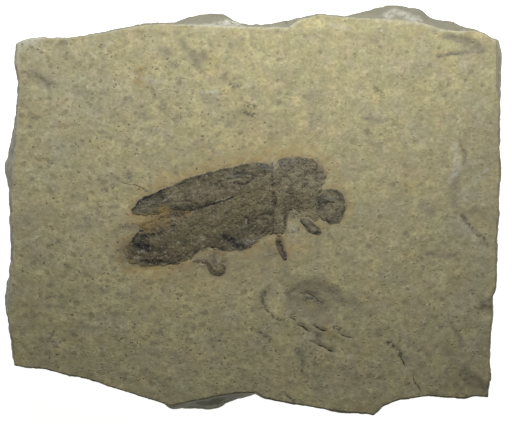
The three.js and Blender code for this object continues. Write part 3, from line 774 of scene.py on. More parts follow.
def slab_ring():
    """The rim of the bedding face, a little ragged, and how far the side below stands out at each point."""
    sides = [
        straight_line([CORNER["front_left"], *FRONT_RIM, CORNER["front_right"]], SLAB_COLUMNS)[:-1],
        straight_line([CORNER["back_right"], *RIGHT_RIM, CORNER["front_right"]], SLAB_ROWS)[:0:-1],
        straight_line([CORNER["back_left"], *BACK_RIM, CORNER["back_right"]], SLAB_COLUMNS)[:0:-1],
        straight_line([CORNER["back_left"], *LEFT_RIM, CORNER["front_left"]], SLAB_ROWS)[:-1],
    ]
    tables = [(FRONT_REACH, 0), (RIGHT_REACH, 1), (BACK_REACH, 0), (LEFT_REACH, 1)]
    reach = np.concatenate([
        np.interp(side[:, axis], *np.array(table).T) for side, (table, axis) in zip(sides, tables)
    ])
    reach = sum(np.roll(reach, shift) for shift in REACH_BLUR) / len(REACH_BLUR)
    ring = np.vstack(sides)
    return ring + outwards(ring) * (NIBBLE * ripple(ring, 1.1, 3, 6))[:, None], reach


rim_places, rim_reach = slab_ring()
print(len(rim_places), "points on the rim")

# %% The broken sides
SIDE_RINGS = 32
BED_TOPS = [0.7, 1.5, 2.1, 3.1, 3.7, 4.8, 5.6, 6.3, 7.1, 7.6]
BED_TILT = 0.3
STEP_IN = 0.35
STEP_START = 0.3
STEP_LIMIT = 0.8
STEP_TOP = 7.3
GRIT = 0.07
KNOCK = 0.06
FOOT_LEVEL = 0.12


def side_rings(ring, reach, rim_height):
    """The rings of corners that go down the broken sides, bed by bed."""
    way = outwards(ring)
    steps = np.array([ripple(ring, 3.4, 3, 20 + bed) for bed in range(len(BED_TOPS) + 1)])
    knock = KNOCK * ripple(ring, 1.3, 2, 9)
    heights, shares = np.array(SIDE_PROFILE).T
    for step in range(1, SIDE_RINGS + 1):
        level = rim_height + (FOOT_LEVEL - rim_height) * step / SIDE_RINGS
        bed = np.searchsorted(BED_TOPS, level + BED_TILT * ripple(ring, 8, 2, 10))
        out = reach * np.interp(level, heights, shares)
        step_in = np.clip(STEP_START + steps[bed, np.arange(len(ring))], 0, STEP_LIMIT)
        out -= STEP_IN * step_in * rise(-level, -THICKNESS, -STEP_TOP)
        grit = GRIT * ripple(np.column_stack([ring, level]), 0.55, 3, 11)
        place = ring + way * (out + knock + grit)[:, None]
        yield np.column_stack([place, level])


print(len(BED_TOPS) + 1, "beds in the broken sides")

# %% Corners of the slab
UNDERSIDE_STEP = 4
FOOT_INSET = 0.35
RIM_WEAR, RIM_WEAR_WIDTH = 0.02, 0.1
CHIP_DEPTH, CHIP_WIDTH = 0.1, 0.8
BRUISED_RIM, BRUISED_WIDTH = 0.3, 0.15
GRAIN_HEIGHT = 0.035
FILM_BED, BED_START, BED_END = 0.45, 0.15, 0.45
SEAM = 0.35
UNDERSIDE_START, UNDERSIDE_SWELL = 0.05, 0.3


def film_cover(places):
    """How deep each place lies inside the beetle's outline, and where a seam runs between two plates."""
    depths = np.array([depth_inside(places, ring) for ring in OUTLINES.values()])
    return depths.max(axis=0), ((depths > -SEAM).sum(axis=0) > 1).astype(float)


def slab_corners(ring, reach):
    """Every corner of the slab, with its share of broken stone: bedding face, sides, underside."""
    top = stretched_grid(ring, SLAB_COLUMNS, SLAB_ROWS)
    edge = distance_to_line(top, np.vstack([ring, ring[:1]])[::2])
    deep, seam = film_cover(top)
    chips = rise(ripple(top, 2.6, 3, 8), 0.2, 0.6)
    height = bedding_height(top) + GRAIN_HEIGHT * ripple(top, 0.8, 2, 5)
    height -= FILM_BED * rise(deep + 0.5 * seam, BED_START, BED_END)
    height -= RIM_WEAR * np.exp(-edge / RIM_WEAR_WIDTH) + CHIP_DEPTH * chips * rise(-edge, -CHIP_WIDTH, 0)
    rim_height = height[grid_edge(SLAB_COLUMNS, SLAB_ROWS)]
    rings = list(side_rings(ring, reach, rim_height))
    foot = rings[-1][::UNDERSIDE_STEP, :2]
    foot = foot - outwards(foot) * FOOT_INSET
    under = stretched_grid(foot, SLAB_COLUMNS // UNDERSIDE_STEP, SLAB_ROWS // UNDERSIDE_STEP)
    hollow = np.maximum(0, UNDERSIDE_START + UNDERSIDE_SWELL * ripple(under, 7, 3, 12))
    levels = [np.column_stack([top, height]), *rings, np.column_stack([under, hollow])]
    bruised = BRUISED_RIM * rise(-edge, -BRUISED_WIDTH, 0)
    broken = [bruised, np.ones(SIDE_RINGS * len(ring) + len(under))]
    return np.clip(np.vstack(levels), LOWEST, HIGHEST), np.concatenate(broken)


slab_places, slab_broken = slab_corners(rim_places, rim_reach)
print(len(slab_places), "corners in the slab")

# %% Faces of the slab
def slab_faces():
    """The slab's faces in the order of its corners: bedding face, sides, a band of fans, underside."""
    columns, rows = SLAB_COLUMNS // UNDERSIDE_STEP, SLAB_ROWS // UNDERSIDE_STEP
    upper = grid_edge(SLAB_COLUMNS, SLAB_ROWS)
    faces = grid_faces(SLAB_COLUMNS, SLAB_ROWS).tolist()
    first = (SLAB_COLUMNS + 1) * (SLAB_ROWS + 1)
    for _ in range(SIDE_RINGS):
        lower = first + np.arange(len(upper))
        faces += wall_faces(upper, lower).tolist()
        upper, first = lower, first + len(upper)
    inner = first + grid_edge(columns, rows)
    for i, (near, far) in enumerate(zip(inner.tolist(), np.roll(inner, -1).tolist())):
        numbers = (np.arange(UNDERSIDE_STEP + 1) + UNDERSIDE_STEP * i) % len(upper)
        a, b, c, d, e = upper[numbers].tolist()
        faces += [[a, near, b], [b, near, c], [c, near, far], [c, far, d], [d, far, e]]
    return faces + (first + grid_faces(columns, rows)[:, ::-1]).tolist()


stone_faces = slab_faces()
print(len(stone_faces), "faces in the slab")

# %% [markdown]
# ## Finishes
#
# Every finish is worked out from the place on the object, in millimetres, so it doesn't slide or
# stretch. A board is a small helper that adds shader nodes and joins them up. Four effects are used
# by several finishes, so each is a node group of its own: grain, which gives a tone and a height;
# specks, which gives small separate spots; cloud, which gives slow, soft patches; and stone, the
# limestone's own colour, which also shows through thin film.

# %% A board for shader nodes
class Board:
    """A node tree, and short ways to add to it. Each one gives back an output of the new node."""

    def __init__(self, tree):
        self.tree = tree

    def join(self, value, node, socket):
        self.tree.links.new(value, node.inputs[socket])

    def add(self, kind, output, inputs, **settings):
        made = self.tree.nodes.new(kind)
        for name, value in settings.items():
            setattr(made, name, value)
        for name, value in inputs.items():
            if isinstance(value, bpy.types.NodeSocket):
                self.join(value, made, name)
            else:
                made.inputs[name].default_value = value
        return made.outputs[output]

    def use(self, group, output, **inputs):
        return self.add("ShaderNodeGroup", output, inputs, node_tree=group)

    def calc(self, operation, a, b=0.0, c=0.0):
        return self.add("ShaderNodeMath", 0, {0: a, 1: b, 2: c}, operation=operation)

    def product(self, value, *others):
        for other in others:
            value = self.calc("MULTIPLY", value, other)
        return value

    def vector(self, operation, a, b):
        return self.add("ShaderNodeVectorMath", 0, {0: a, 1: b}, operation=operation)

    def stretch(self, vector, times):
        return self.add("ShaderNodeVectorMath", 0, {0: vector, 3: times}, operation="SCALE")

    def rise(self, value, low, high, top=1.0):
        names = {"Value": value, "From Min": low, "From Max": high, "To Min": 0.0, "To Max": top}
        return self.add("ShaderNodeMapRange", 0, names, interpolation_type="SMOOTHSTEP")

    def blend(self, share, a, b):
        """From colour a to colour b. Sockets 6 and 7 and output 2 are the mix node's own for colours."""
        return self.add("ShaderNodeMix", 2, {0: share, 6: a, 7: b}, data_type="RGBA")

    def paint(self, colour, paint, *shares):
        """A colour with paint over it, which covers as much as the shares multiplied."""
        return self.blend(self.product(*shares), colour, paint)

    def noise(self, place, size, octaves=2.0, roughness=0.5):
        scale = self.calc("DIVIDE", 1.0, size)
        names = {"Vector": place, "Scale": scale, "Detail": octaves, "Roughness": roughness}
        return self.add("ShaderNodeTexNoise", 0, names)

    def mark(self, name):
        return self.add("ShaderNodeAttribute", "Fac", {}, attribute_name=name, attribute_type="GEOMETRY")

    def place(self):
        """The place on the object in millimetres."""
        return self.stretch(self.add("ShaderNodeTexCoord", "Object", {}), 1 / MM)


def new_tree(kind, name, inputs, outputs, build):
    """A node tree with named sockets. The build function gets a board and the inputs, and gives results."""
    tree = bpy.data.node_groups.new(name, kind)
    for way, sockets in (("INPUT", inputs), ("OUTPUT", outputs)):
        for socket, holds in sockets.items():
            tree.interface.new_socket(name=socket, in_out=way, socket_type="NodeSocket" + holds)
    board = Board(tree)
    given = tree.nodes.new("NodeGroupInput").outputs
    results = tree.nodes.new("NodeGroupOutput")
    for socket, value in build(board, given).items():
        board.join(value, results, socket)
    return tree


print("board ready, with", len([way for way in vars(Board) if not way.startswith("_")]), "short ways")

# %% Grain, specks and cloud
def build_grain(board, given):
    """A coarse and a fine noise together, as a tone with more contrast and as a plain height."""
    coarse = board.noise(given["Place"], given["Size"], 3.0, 0.6)
    fine = board.noise(given["Place"], board.calc("MULTIPLY", given["Size"], 0.31), 1.0)
    both = board.calc("MULTIPLY_ADD", fine, 0.55, board.calc("MULTIPLY", coarse, 0.45))
    return {"Tone": board.rise(both, 0.3, 0.7), "Height": both}


def build_specks(board, given):
    """One possible spot in each cell of a pattern. Its cell's random colour says if and how large it is."""
    bend = board.add("ShaderNodeTexNoise", "Color", {"Vector": given["Place"], "Scale": 1.4, "Detail": 2.0})
    place = board.vector("ADD", given["Place"], board.stretch(bend, 0.45))
    squash = board.vector("MULTIPLY", place, (0.88, 1.12, 1))
    scale = board.calc("DIVIDE", 0.5, given["Size"])
    sized = {"Vector": squash, "Scale": scale}
    cells = board.add("ShaderNodeTexVoronoi", 0, sized, voronoi_dimensions="2D")
    chance = board.add("ShaderNodeSeparateColor", 0, {"Color": cells.node.outputs["Color"]}).node.outputs
    radius = board.calc("MULTIPLY_ADD", chance[1], 0.3, 0.14)
    spot = board.rise(cells, radius, board.calc("MULTIPLY", radius, 0.4))
    kept = board.calc("LESS_THAN", chance[0], given["Cover"])
    strength = board.calc("MULTIPLY_ADD", chance[2], 0.7, 0.3)
    return {"Mask": board.product(spot, kept, strength)}


def build_cloud(board, given):
    """Soft patches that cover about half of the surface."""
    return {"Share": board.rise(board.noise(given["Place"], given["Size"], 4.0, 0.55), 0.36, 0.64)}


SHADER = "ShaderNodeTree"
SIZED = {"Place": "Vector", "Size": "Float"}
GRAIN = new_tree(SHADER, "Grain", SIZED, {"Tone": "Float", "Height": "Float"}, build_grain)
SPECKS = new_tree(SHADER, "Specks", {**SIZED, "Cover": "Float"}, {"Mask": "Float"}, build_specks)
CLOUD = new_tree(SHADER, "Cloud", SIZED, {"Share": "Float"}, build_cloud)
print("node groups:", GRAIN.name, SPECKS.name, CLOUD.name)

# %% [markdown]
# ### The stone's own colour
#
# The stone is cream, yellower in some places and greyer in others, with slow patches of lilac, tan
# and green, a fine grain, dark specks of plant dust and a few pale ones. One flat cream would be
# simpler, but a real bedding face never has the same colour twice.

# %% Stone colour
YELLOW_CREAM = (0.59, 0.535, 0.29, 1)
GREY_CREAM = (0.49, 0.47, 0.32, 1)
DUN = (0.235, 0.215, 0.12, 1)
LILAC_GREY = (0.41, 0.355, 0.29, 1)
GREEN_GREY = (0.37, 0.37, 0.21, 1)
TAN = (0.55, 0.44, 0.22, 1)
DARK_SPECK = (0.19, 0.17, 0.105, 1)
PALE_SPECK = (0.6, 0.58, 0.45, 1)
ASIDE, BELOW = (31, 7, 13), (3, 41, 23)
# A hue: pattern moved aside or not, size, share and colour. A mottle and a spot: size and share.
HUES = [(0, 2.4, 0.65, LILAC_GREY), (1, 3.1, 0.45, TAN), (1, 1.7, 0.5, GREEN_GREY)]
MOTTLES = [(2.6, 0.25), (1, 0.36), (0.42, 0.42)]
SPOTS = [(0.75, 0.6), (0.5, 0.65)]


def build_stone(board, given):
    """The stone's own colour: slow changes of hue, mottles, grain, and dark and pale spots."""
    place = given["Place"]
    aside, below = board.vector("ADD", place, ASIDE), board.vector("ADD", place, BELOW)
    tint = board.calc("ADD", board.use(CLOUD, "Share", Place=place, Size=7.0), given["Warmth"])
    colour = board.blend(board.rise(tint, -0.5, 1.0), GREY_CREAM, YELLOW_CREAM)
    for spot, size, share, hue in HUES:
        patch = board.use(CLOUD, "Share", Place=aside if spot else place, Size=size)
        colour = board.paint(colour, hue, patch, share)
    for size, share in MOTTLES:
        colour = board.paint(colour, DUN, board.use(CLOUD, "Share", Place=below, Size=size), share)
    tone = board.use(GRAIN, "Tone", Place=place, Size=0.42)
    colour = board.paint(colour, DUN, tone, 0.2)
    cover = board.calc("MULTIPLY_ADD", given["Specky"], 0.35, 0.2)
    for size, share in SPOTS:
        dark = board.use(SPECKS, "Mask", Place=place, Size=size, Cover=cover)
        colour = board.paint(colour, DARK_SPECK, dark, share)
    pale = board.use(SPECKS, "Mask", Place=aside, Size=0.25, Cover=0.1)
    return {"Color": board.paint(colour, PALE_SPECK, pale, 0.4), "Tone": tone}


STONE = new_tree(
    SHADER, "Stone", {"Place": "Vector", "Warmth": "Float", "Specky": "Float"},
    {"Color": "Color", "Tone": "Float"}, build_stone)
print("node group:", STONE.name, "with", len(STONE.nodes), "nodes")

# %% [markdown]
# ### Limestone
#
# Over the stone's own colour lie the stains, and painted shade in the creases and in some hollows.
# On the broken sides it is greyer, and darker at the back, where painted shade tones down the lamp's
# light; its beds show as thin bands. A finish with hardly any gloss is right: the face of this stone
# is as dull as chalk.

# %% Limestone finish
RUST = (0.37, 0.27, 0.115, 1)
# Soot, and painted shade along some creases.
SOOT_AND_SHADE = (0.075, 0.068, 0.05, 1)
# Painted shade for the creases.
SHADE = (0.13, 0.12, 0.08, 1)
# Dull patches, and painted shade in hollows, on steps and along creases.
DULL_AND_SHADE = (0.2, 0.185, 0.135, 1)
# Bruises, and painted highlight on the back and left rims.
BRUISE_AND_HIGHLIGHT = (0.54, 0.535, 0.47, 1)
SIDE_STONE = (0.32, 0.315, 0.255, 1)
SIDE_PALE = (0.45, 0.44, 0.35, 1)
# Painted shade for the broken sides at the back, where the lamp lights them most.
SIDE_PAINTED_SHADE = (0.11, 0.105, 0.08, 1)
BED_SQUASH = (0.12, 0.12, 2.4)
STONE_RELIEF = 0.062
SPECULAR = 0.25


def new_material(name, roughness):
    """A material with its shader, and a board to draw its nodes on."""
    material = bpy.data.materials.new(name)
    material.use_nodes = True
    shader = material.node_tree.nodes["Principled BSDF"]
    shader.inputs["Roughness"].default_value = roughness
    shader.inputs["Specular IOR Level"].default_value = SPECULAR
    return material, shader, Board(material.node_tree)


def roughen(board, shader, height, depth):
    """Lets a height, at most depth millimetres, catch the light on a finish."""
    bump = board.add("ShaderNodeBump", 0, {"Strength": 1.0, "Distance": depth * MM, "Height": height})
    board.join(bump, shader, "Normal")


def stained_face(board, place):
    """The bedding face's colour with its stains and its painted shade over it, and the tone of its grain.
    """
    warmth = board.calc("SUBTRACT", board.mark("warm"), board.mark("grey"))
    colour = board.use(STONE, "Color", Place=place, Warmth=warmth, Specky=board.mark("specky"))
    tone = colour.node.outputs["Tone"]
    drift = board.rise(board.noise(place, 0.9, 3.0), 0.25, 0.6)
    colour = board.paint(colour, RUST, board.mark("rust"), drift, 0.85)
    crumbly = board.rise(board.noise(place, 0.35, 2.0), 0.35, 0.6)
    # Soot, and painted shade along some creases.
    colour = board.paint(colour, SOOT_AND_SHADE, board.mark("soot"), crumbly)
    # Dull patches, and painted shade in hollows, on steps and along creases.
    colour = board.paint(colour, DULL_AND_SHADE, board.mark("dull"), board.calc("MULTIPLY_ADD", drift, 0.4, 0.3))
    # Painted shade in the creases.
    return board.paint(colour, SHADE, board.mark("shade"), 0.75), tone


def broken_side(board, place, tone):
    """The broken sides' colour: bands of beds, some of them pale, and painted shade that darkens them
    towards the back.
    """
    bands = board.rise(board.noise(board.vector("MULTIPLY", place, BED_SQUASH), 1.0, 3.0), 0.3, 0.7)
    side = board.paint(board.blend(bands, SIDE_STONE, SIDE_PALE), DUN, tone, 0.35)
    return board.paint(side, SIDE_PAINTED_SHADE, board.mark("aged"), 0.75)


def make_limestone():
    material, shader, board = new_material("limestone", 0.93)
    place = board.place()
    colour, tone = stained_face(board, place)
    colour = board.paint(colour, broken_side(board, place, tone), board.mark("broken"), 0.9)
    crushed = board.rise(board.noise(place, 0.5, 3.0), 0.3, 0.55)
    # Bruises, and painted highlight along the back and left rims.
    board.join(board.paint(colour, BRUISE_AND_HIGHLIGHT, board.mark("bruise"), crushed), shader, "Base Color")
    grain = board.use(GRAIN, "Height", Place=place, Size=0.35)
    pits = board.use(SPECKS, "Mask", Place=board.vector("ADD", place, ASIDE), Size=0.5, Cover=0.3)
    wrinkles = board.noise(place, 1.1, 4.0, 0.65)
    rough = board.calc("MULTIPLY_ADD", wrinkles, 0.9, board.product(pits, -0.5))
    roughen(board, shader, board.calc("ADD", grain, rough), STONE_RELIEF)
    return material


limestone = make_limestone()
print(len(limestone.node_tree.nodes), "nodes in the limestone finish")

# %% Finishes for dust, and for dirt and painted shade in the cracks
FADED_SPECK = (0.27, 0.245, 0.15, 1)
# Colours of the crack threads: dirt and painted shade.
DIRT_AND_SHADE = (0.08, 0.07, 0.045, 1)
PALE_DIRT_AND_SHADE = (0.16, 0.14, 0.09, 1)


def make_dust(name, dark, pale):
    """Small dark scraps, half of them faded."""
    material, shader, board = new_material(name, 0.9)
    faded = board.rise(board.noise(board.place(), 0.8, 1.0), 0.4, 0.6)
    board.join(board.blend(faded, dark, pale), shader, "Base Color")
    return material


DUST = make_dust("plant_dust", DARK_SPECK, FADED_SPECK)
# Dark threads in the cracks: dirt and painted shade.
CRACK_DIRT_AND_SHADE = make_dust("crack_dirt", DIRT_AND_SHADE, PALE_DIRT_AND_SHADE)
print("made", DUST.name, "and", CRACK_DIRT_AND_SHADE.name)

# %% [markdown]
# ### The beetle's film
#
# The film is what is left of the wing cases and the chest: crumbs of carbon in a brown-grey crust.
# It is blackest in its creases and along its margins, has a blue-grey bloom in a few places, and
# lets the rusty stone through where it is thin or worn away. Where the left wing case lies over the
# right one, a painted shadow under its edge and a painted highlight on it stand for that step. All
# films share one recipe and differ in their two base colours, so one function makes them.

# %% Film finishes
# Coal, and the painted shadow under the left wing case's edge.
COAL_AND_SHADOW = (0.022, 0.021, 0.019, 1)
BLOOM = (0.125, 0.14, 0.135, 1)
UMBER = (0.12, 0.078, 0.05, 1)
OLIVE = (0.17, 0.142, 0.065, 1)
# Chalk, and the painted highlight on the left wing case's edge.
CHALK_AND_HIGHLIGHT = (0.42, 0.4, 0.3, 1)
ASH = (0.36, 0.325, 0.22, 1)
DEEP_RUST = (0.235, 0.17, 0.062, 1)
# A paint: its mark, colour and share.
PAINTS = [("olive", OLIVE, 0.7), ("umber", UMBER, 0.8), ("ash", ASH, 0.4), ("bloom", BLOOM, 0.85)]
FILM_ASIDE = (5, 3, 2)
FILM_RELIEF = 0.1
SHEEN = 0.15


def film_colour(board, place, tone, light, dark):
    """The crust's colour: two browns in slow patches, coal in its grain, and the drawn marks over them."""
    colour = board.blend(board.use(CLOUD, "Share", Place=place, Size=1.6), light, dark)
    blotch = board.use(CLOUD, "Share", Place=place, Size=0.8)
    flecks = board.use(SPECKS, "Mask", Place=place, Size=0.3, Cover=0.3)
    for pattern, share in ((tone, 0.42), (blotch, 0.16), (flecks, 0.4)):
        colour = board.paint(colour, COAL_AND_SHADOW, pattern, share)
    drift = board.rise(board.noise(place, 0.6, 3.0), 0.3, 0.6)
    for mark, paint, share in PAINTS:
        colour = board.paint(colour, paint, board.mark(mark), drift, share)
    crumb = board.mark("crumb_tone")
    colour = board.paint(colour, COAL_AND_SHADOW, board.rise(crumb, 0.02, 0.6, 0.4))
    colour = board.paint(colour, ASH, board.rise(crumb, 0.7, 0.9, 0.35))
    crumbly = board.rise(board.noise(place, 0.25, 2.0), 0.3, 0.55)
    # Coal, and a painted shadow along the seam between the wing cases.
    colour = board.paint(colour, COAL_AND_SHADOW, board.mark("coal"), board.calc("MULTIPLY_ADD", crumbly, 0.7, 0.3))
    pale = board.use(SPECKS, "Mask", Place=board.vector("ADD", place, FILM_ASIDE), Size=0.22, Cover=0.15)
    # Chalk, and a painted highlight on the edge of the left wing case at that seam.
    pale = board.calc("MULTIPLY_ADD", pale, 0.5, board.product(board.mark("chalk"), crumbly))
    return board.paint(colour, CHALK_AND_HIGHLIGHT, board.calc("MINIMUM", pale, 0.9))


def make_film(name, light, dark, roughness):
    material, shader, board = new_material(name, roughness)
    place = board.place()
    tone = board.use(GRAIN, "Tone", Place=place, Size=0.5)
    colour = film_colour(board, place, tone, light, dark)
    stone_colour = board.use(STONE, "Color", Place=place, Warmth=0.3)
    stained = board.blend(0.5, board.blend(0.4, stone_colour, RUST), DULL_AND_SHADE)
    stained = board.paint(stained, DEEP_RUST, board.mark("rust"), 0.85)
    board.join(board.blend(board.mark("bare"), colour, stained), shader, "Base Color")
    roughen(board, shader, board.use(GRAIN, "Height", Place=place, Size=0.3), FILM_RELIEF)
    board.join(board.calc("MULTIPLY_ADD", tone, SHEEN, roughness - SHEEN), shader, "Roughness")
    return material


FILMS = {
    "carbon_film": make_film("carbon_film", (0.25, 0.217, 0.13, 1), (0.13, 0.112, 0.066, 1), 0.8),
    "rusty_film": make_film("rusty_film", (0.34, 0.24, 0.1, 1), (0.16, 0.12, 0.065, 1), 0.85),
    "leg_film": make_film("leg_film", (0.25, 0.207, 0.14, 1), (0.16, 0.128, 0.088, 1), 0.8),
}
print("film finishes:", ", ".join(FILMS))

# %% [markdown]
# ## The stone piece
#
# The corners, faces, stains and finish come together here. Stains belong to the bedding face and
# the upper part of the broken sides, so they fade out lower down. The beetle adds its own: soot in
# the seams between its plates, and rust and dullness close round it.

# %% Make the stone
FADE_LOW, FADE_HIGH = 4, 6.5
SEAM_SOOT = 0.75
HALO, HALO_WIDTH = 0.6, 0.95
DULL_START, DULL_END, DULL_WANDER = -0.6, 0.15, 0.4
BACK_SHADE_START, BACK_SHADE_END = 22, 24
CLEAR_OF_FILM = 0.3


def make_slab():
    """The whole slab as one closed piece that stands for the model's plain one."""
    plan, level = slab_places[:, :2], slab_places[:, 2]
    seen = rise(level, FADE_LOW, FADE_HIGH)
    marks = {name: strengths * seen for name, strengths in stains_at(plan).items()}
    deep, seam = film_cover(plan)
    close = deep + DULL_WANDER * ripple(plan, 0.9, 3, 13)
    marks["soot"] = np.clip(marks["soot"] + SEAM_SOOT * seen * seam, 0, 1)
    marks["rust"] = np.clip(marks["rust"] + HALO * seen * rise(deep, -HALO_WIDTH, 0), 0, 1)
    marks["dull"] = np.clip(marks["dull"] + seen * rise(close, DULL_START, DULL_END), 0, 1)
    marks["broken"] = slab_broken
    # Painted shade: the broken sides grow darker towards the back, where the lamp lights them most.
    marks["aged"] = slab_broken * rise(plan[:, 1], BACK_SHADE_START, BACK_SHADE_END)
    marks["open"] = seen * (1 - slab_broken) * rise(-deep, 0, CLEAR_OF_FILM)
    marks["specky"] *= marks["open"]
    slab = new_piece("stone_slab_dressed", slab_places, stone_faces, limestone, marks)
    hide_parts("stone_slab")
    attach(slab, "root")
    return slab


stone = make_slab()
print("slab made,", len(stone.data.polygons), "faces")

# %% [markdown]
# ## The beetle's plates
#
# Each plate is a thin crust that swells out of the stone: buried a little at its torn edge, about a
# tenth of a millimetre proud in the middle, and crumbly all over. A flat sheet with a bump would
# look painted on, so the crumbs are real shape. Its margins, folds, seams and bloom are strokes
# again, and the same coal-black strokes are pressed in as grooves. Thin and faint strokes let the
# stone through.

# %% Coal on the film, and one painted shadow
FILM_MARKS = {}
FILM_MARKS["coal"] = [
    (0.42, 0.85, [(-16.2, -0.1), (-15.8, 0.6), (-14.7, 1.5), (-13.3, 2), (-12.2, 2.7), (-11.4, 3.1)]),
    (0.24, 0.45, [(-10.4, 3.5), (-8.5, 4.25), (-6.3, 4.85)]),
    (0.4, 0.7, [(-16, -3.2), (-15.2, -2.6)]),
    (0.3, 0.7, [(-7.1, -5.3), (-6.3, -5)]),
    (0.22, 0.5, [(-6.3, 4.8), (-3.8, 5.4), (-2, 5.85), (-0.8, 6.05)]),
    (0.8, 0.5, [(-15.8, -0.1), (-14.8, 0.6), (-13.2, 0.9), (-12, 1.6)]),
    (0.12, 0.6, [(-7.9, -6.8), (-6.9, -6.75)]),
    (0.25, 0.5, [(5.9, 0.5), (6.4, 0.2)]),
    (0.2, 0.5, [(-12.6, 0.1), (-12.9, 0.6), (-13.6, 0.3)]),
    (0.35, 0.6, [(-12.4, -0.9), (-11, -0.5), (-9.2, -0.6)]),
    (0.3, 0.5, [(-13.4, -2.7), (-12, -2.3), (-10.8, -1.6)]),
    (0.3, 0.8, [(-11, 0.3), (-10.2, 0.1), (-9.2, 0), (-8.4, 0.1), (-7.4, 0.3), (-6.2, 0.6)]),
    # Painted shadow under the edge where the left wing case lies over the right one.
    (0.12, 1.3, [(-6.2, 0.5), (-4.9, 0.9), (-3.8, 1.27), (-2.7, 1.62)]),
    (0.12, 0.6, [(2.5, 4.6), (2.55, 3.8), (2.62, 2.9)]),
    (0.15, 1, [(2.85, 2.3), (2.98, 1.6), (2.95, 0.7)]),
    (0.15, 1, [(4.3, -0.7), (4.25, -2.1)]),
    (0.14, 0.6, [(-0.9, -2), (0.5, -1.1), (1.7, -0.4), (2.6, -0.9), (2.4, -2.2)]),
    (0.12, 0.5, [(0, -1.7), (1, -1.3), (1.9, -1.4)]),
    (0.14, 0.9, [(-2.6, 4.76), (-1.3, 4.87), (0, 4.55)]),
    (0.13, 0.7, [(-2.2, 4.2), (-0.6, 4.2)]),
    (0.15, 0.9, [(-2.5, 3.6), (-1.1, 3.45), (0, 4)]),
    (0.3, 0.5, [(-5, 3.4), (-3.6, 2.9)]),
    (0.14, 0.9, [(-7.8, -5.5), (-6.8, -5.3), (-5.6, -5.15)]),
    (0.12, 0.5, [(-11.8, -1.5), (-13, -1.2), (-14.6, -2.2)]),
    (0.24, 1, [(-16.1, -4.3), (-15.8, -3.6), (-15.3, -2.9), (-14.9, -2.6)]),
    (0.25, 0.6, [(-14.9, -2.8), (-14.5, -3.5)]),
    (0.22, 0.7, [(-14.5, -3.6), (-13.5, -3.3), (-12.6, -3.05), (-11.6, -2.7), (-10.5, -2.1)]),
    (0.55, 1, [(-15.4, -4.8), (-14.2, -5)]),
    (0.4, 0.5, [(-14.9, -3.5), (-15, -4.4)]),
    (0.6, 0.4, [(-13.8, -4.9), (-12.4, -5)]),
    (2.4, 0.2, [(-16, -5.8), (-8, -4), (0, -2)]),
    (0.3, 0.6, [(-14.8, -6.9), (-13, -7.1), (-10.6, -7)]),
    (0.2, 0.6, [(-8, -5.9), (-6, -5.1), (-4, -5)]),
    (0.45, 1, [(-3.8, -3.5), (-2.7, -4.1)]),
    (0.3, 1, [(-2.5, -4.7), (-1, -4.9), (0, -4.5)]),
    (0.25, 0.7, [(-0.8, -1.1), (-0.5, -1.8)]),
    (0.14, 0.5, [(-2.2, -3.5), (-1.3, -2.7), (0.2, -2)]),
    (0.14, 0.5, [(4.4, 2.4), (5.2, 2.05), (6.2, 2)]),
    (0.14, 0.5, [(4.5, 1.8), (5.3, 1.5), (6.1, 1.5)]),
    (0.16, 0.45, [(5.6, 1), (6.6, 0.9), (7.2, 1.3)]),
    (0.15, 0.4, [(4, 4.7), (4.8, 4.4), (5.1, 3.7)]),
    (0.14, 0.4, [(6.2, 5.6), (7.3, 5), (8.4, 4.2)]),
    (0.45, 0.6, [(9, 0.2), (9, 1.5)]),
    (0.13, 0.5, [(9.3, 0.4), (9.9, 1), (10.8, 1.1)]),
    (0.2, 0.45, [(9.6, -1.4), (10.8, -1.7), (11.8, -0.9)]),
    (0.2, 1, [(6.35, -1.3), (6.75, -2.1), (7.6, -2.85), (8.2, -3.1), (8.9, -3.2)]),
    (0.22, 1, [(6.95, -1), (7.4, -1.2), (7.85, -1.55)]),
    (0.2, 0.8, [(8.1, -1.9), (8.7, -2.4)]),
    (0.16, 0.7, [(8.6, -3), (9, -3.3)]),
    (0.2, 0.6, [(3.5, -3.45)]),
    (0.35, 0.45, [(3.5, -4.3), (3.9, -5.3), (4.2, -6.2)]),
    (0.35, 0.6, [(-5.6, -8.1), (-4.9, -8.6), (-4.2, -8.3)]),
    (0.2, 0.5, [(-6.4, -6.8), (-6, -7.4), (-5.6, -7.9)]),
    (0.2, 0.7, [(-3.8, -7.7)]),
    (0.2, 0.6, [(8.5, 1.6), (8.7, 0.8)]),
    (0.16, 0.6, [(10, 2.6), (10.8, 2.75), (11.5, 2.4)]),
    (0.18, 0.6, [(12.2, 1.6), (12.3, 0.6), (12, -0.4)]),
    (0.16, 0.6, [(9.6, 1), (10.2, 1.15), (10.7, 1)]),
    (0.2, 0.6, [(9.8, -1.2), (10.2, -1.7)]),
]
print(len(FILM_MARKS["coal"]), "strokes of coal")

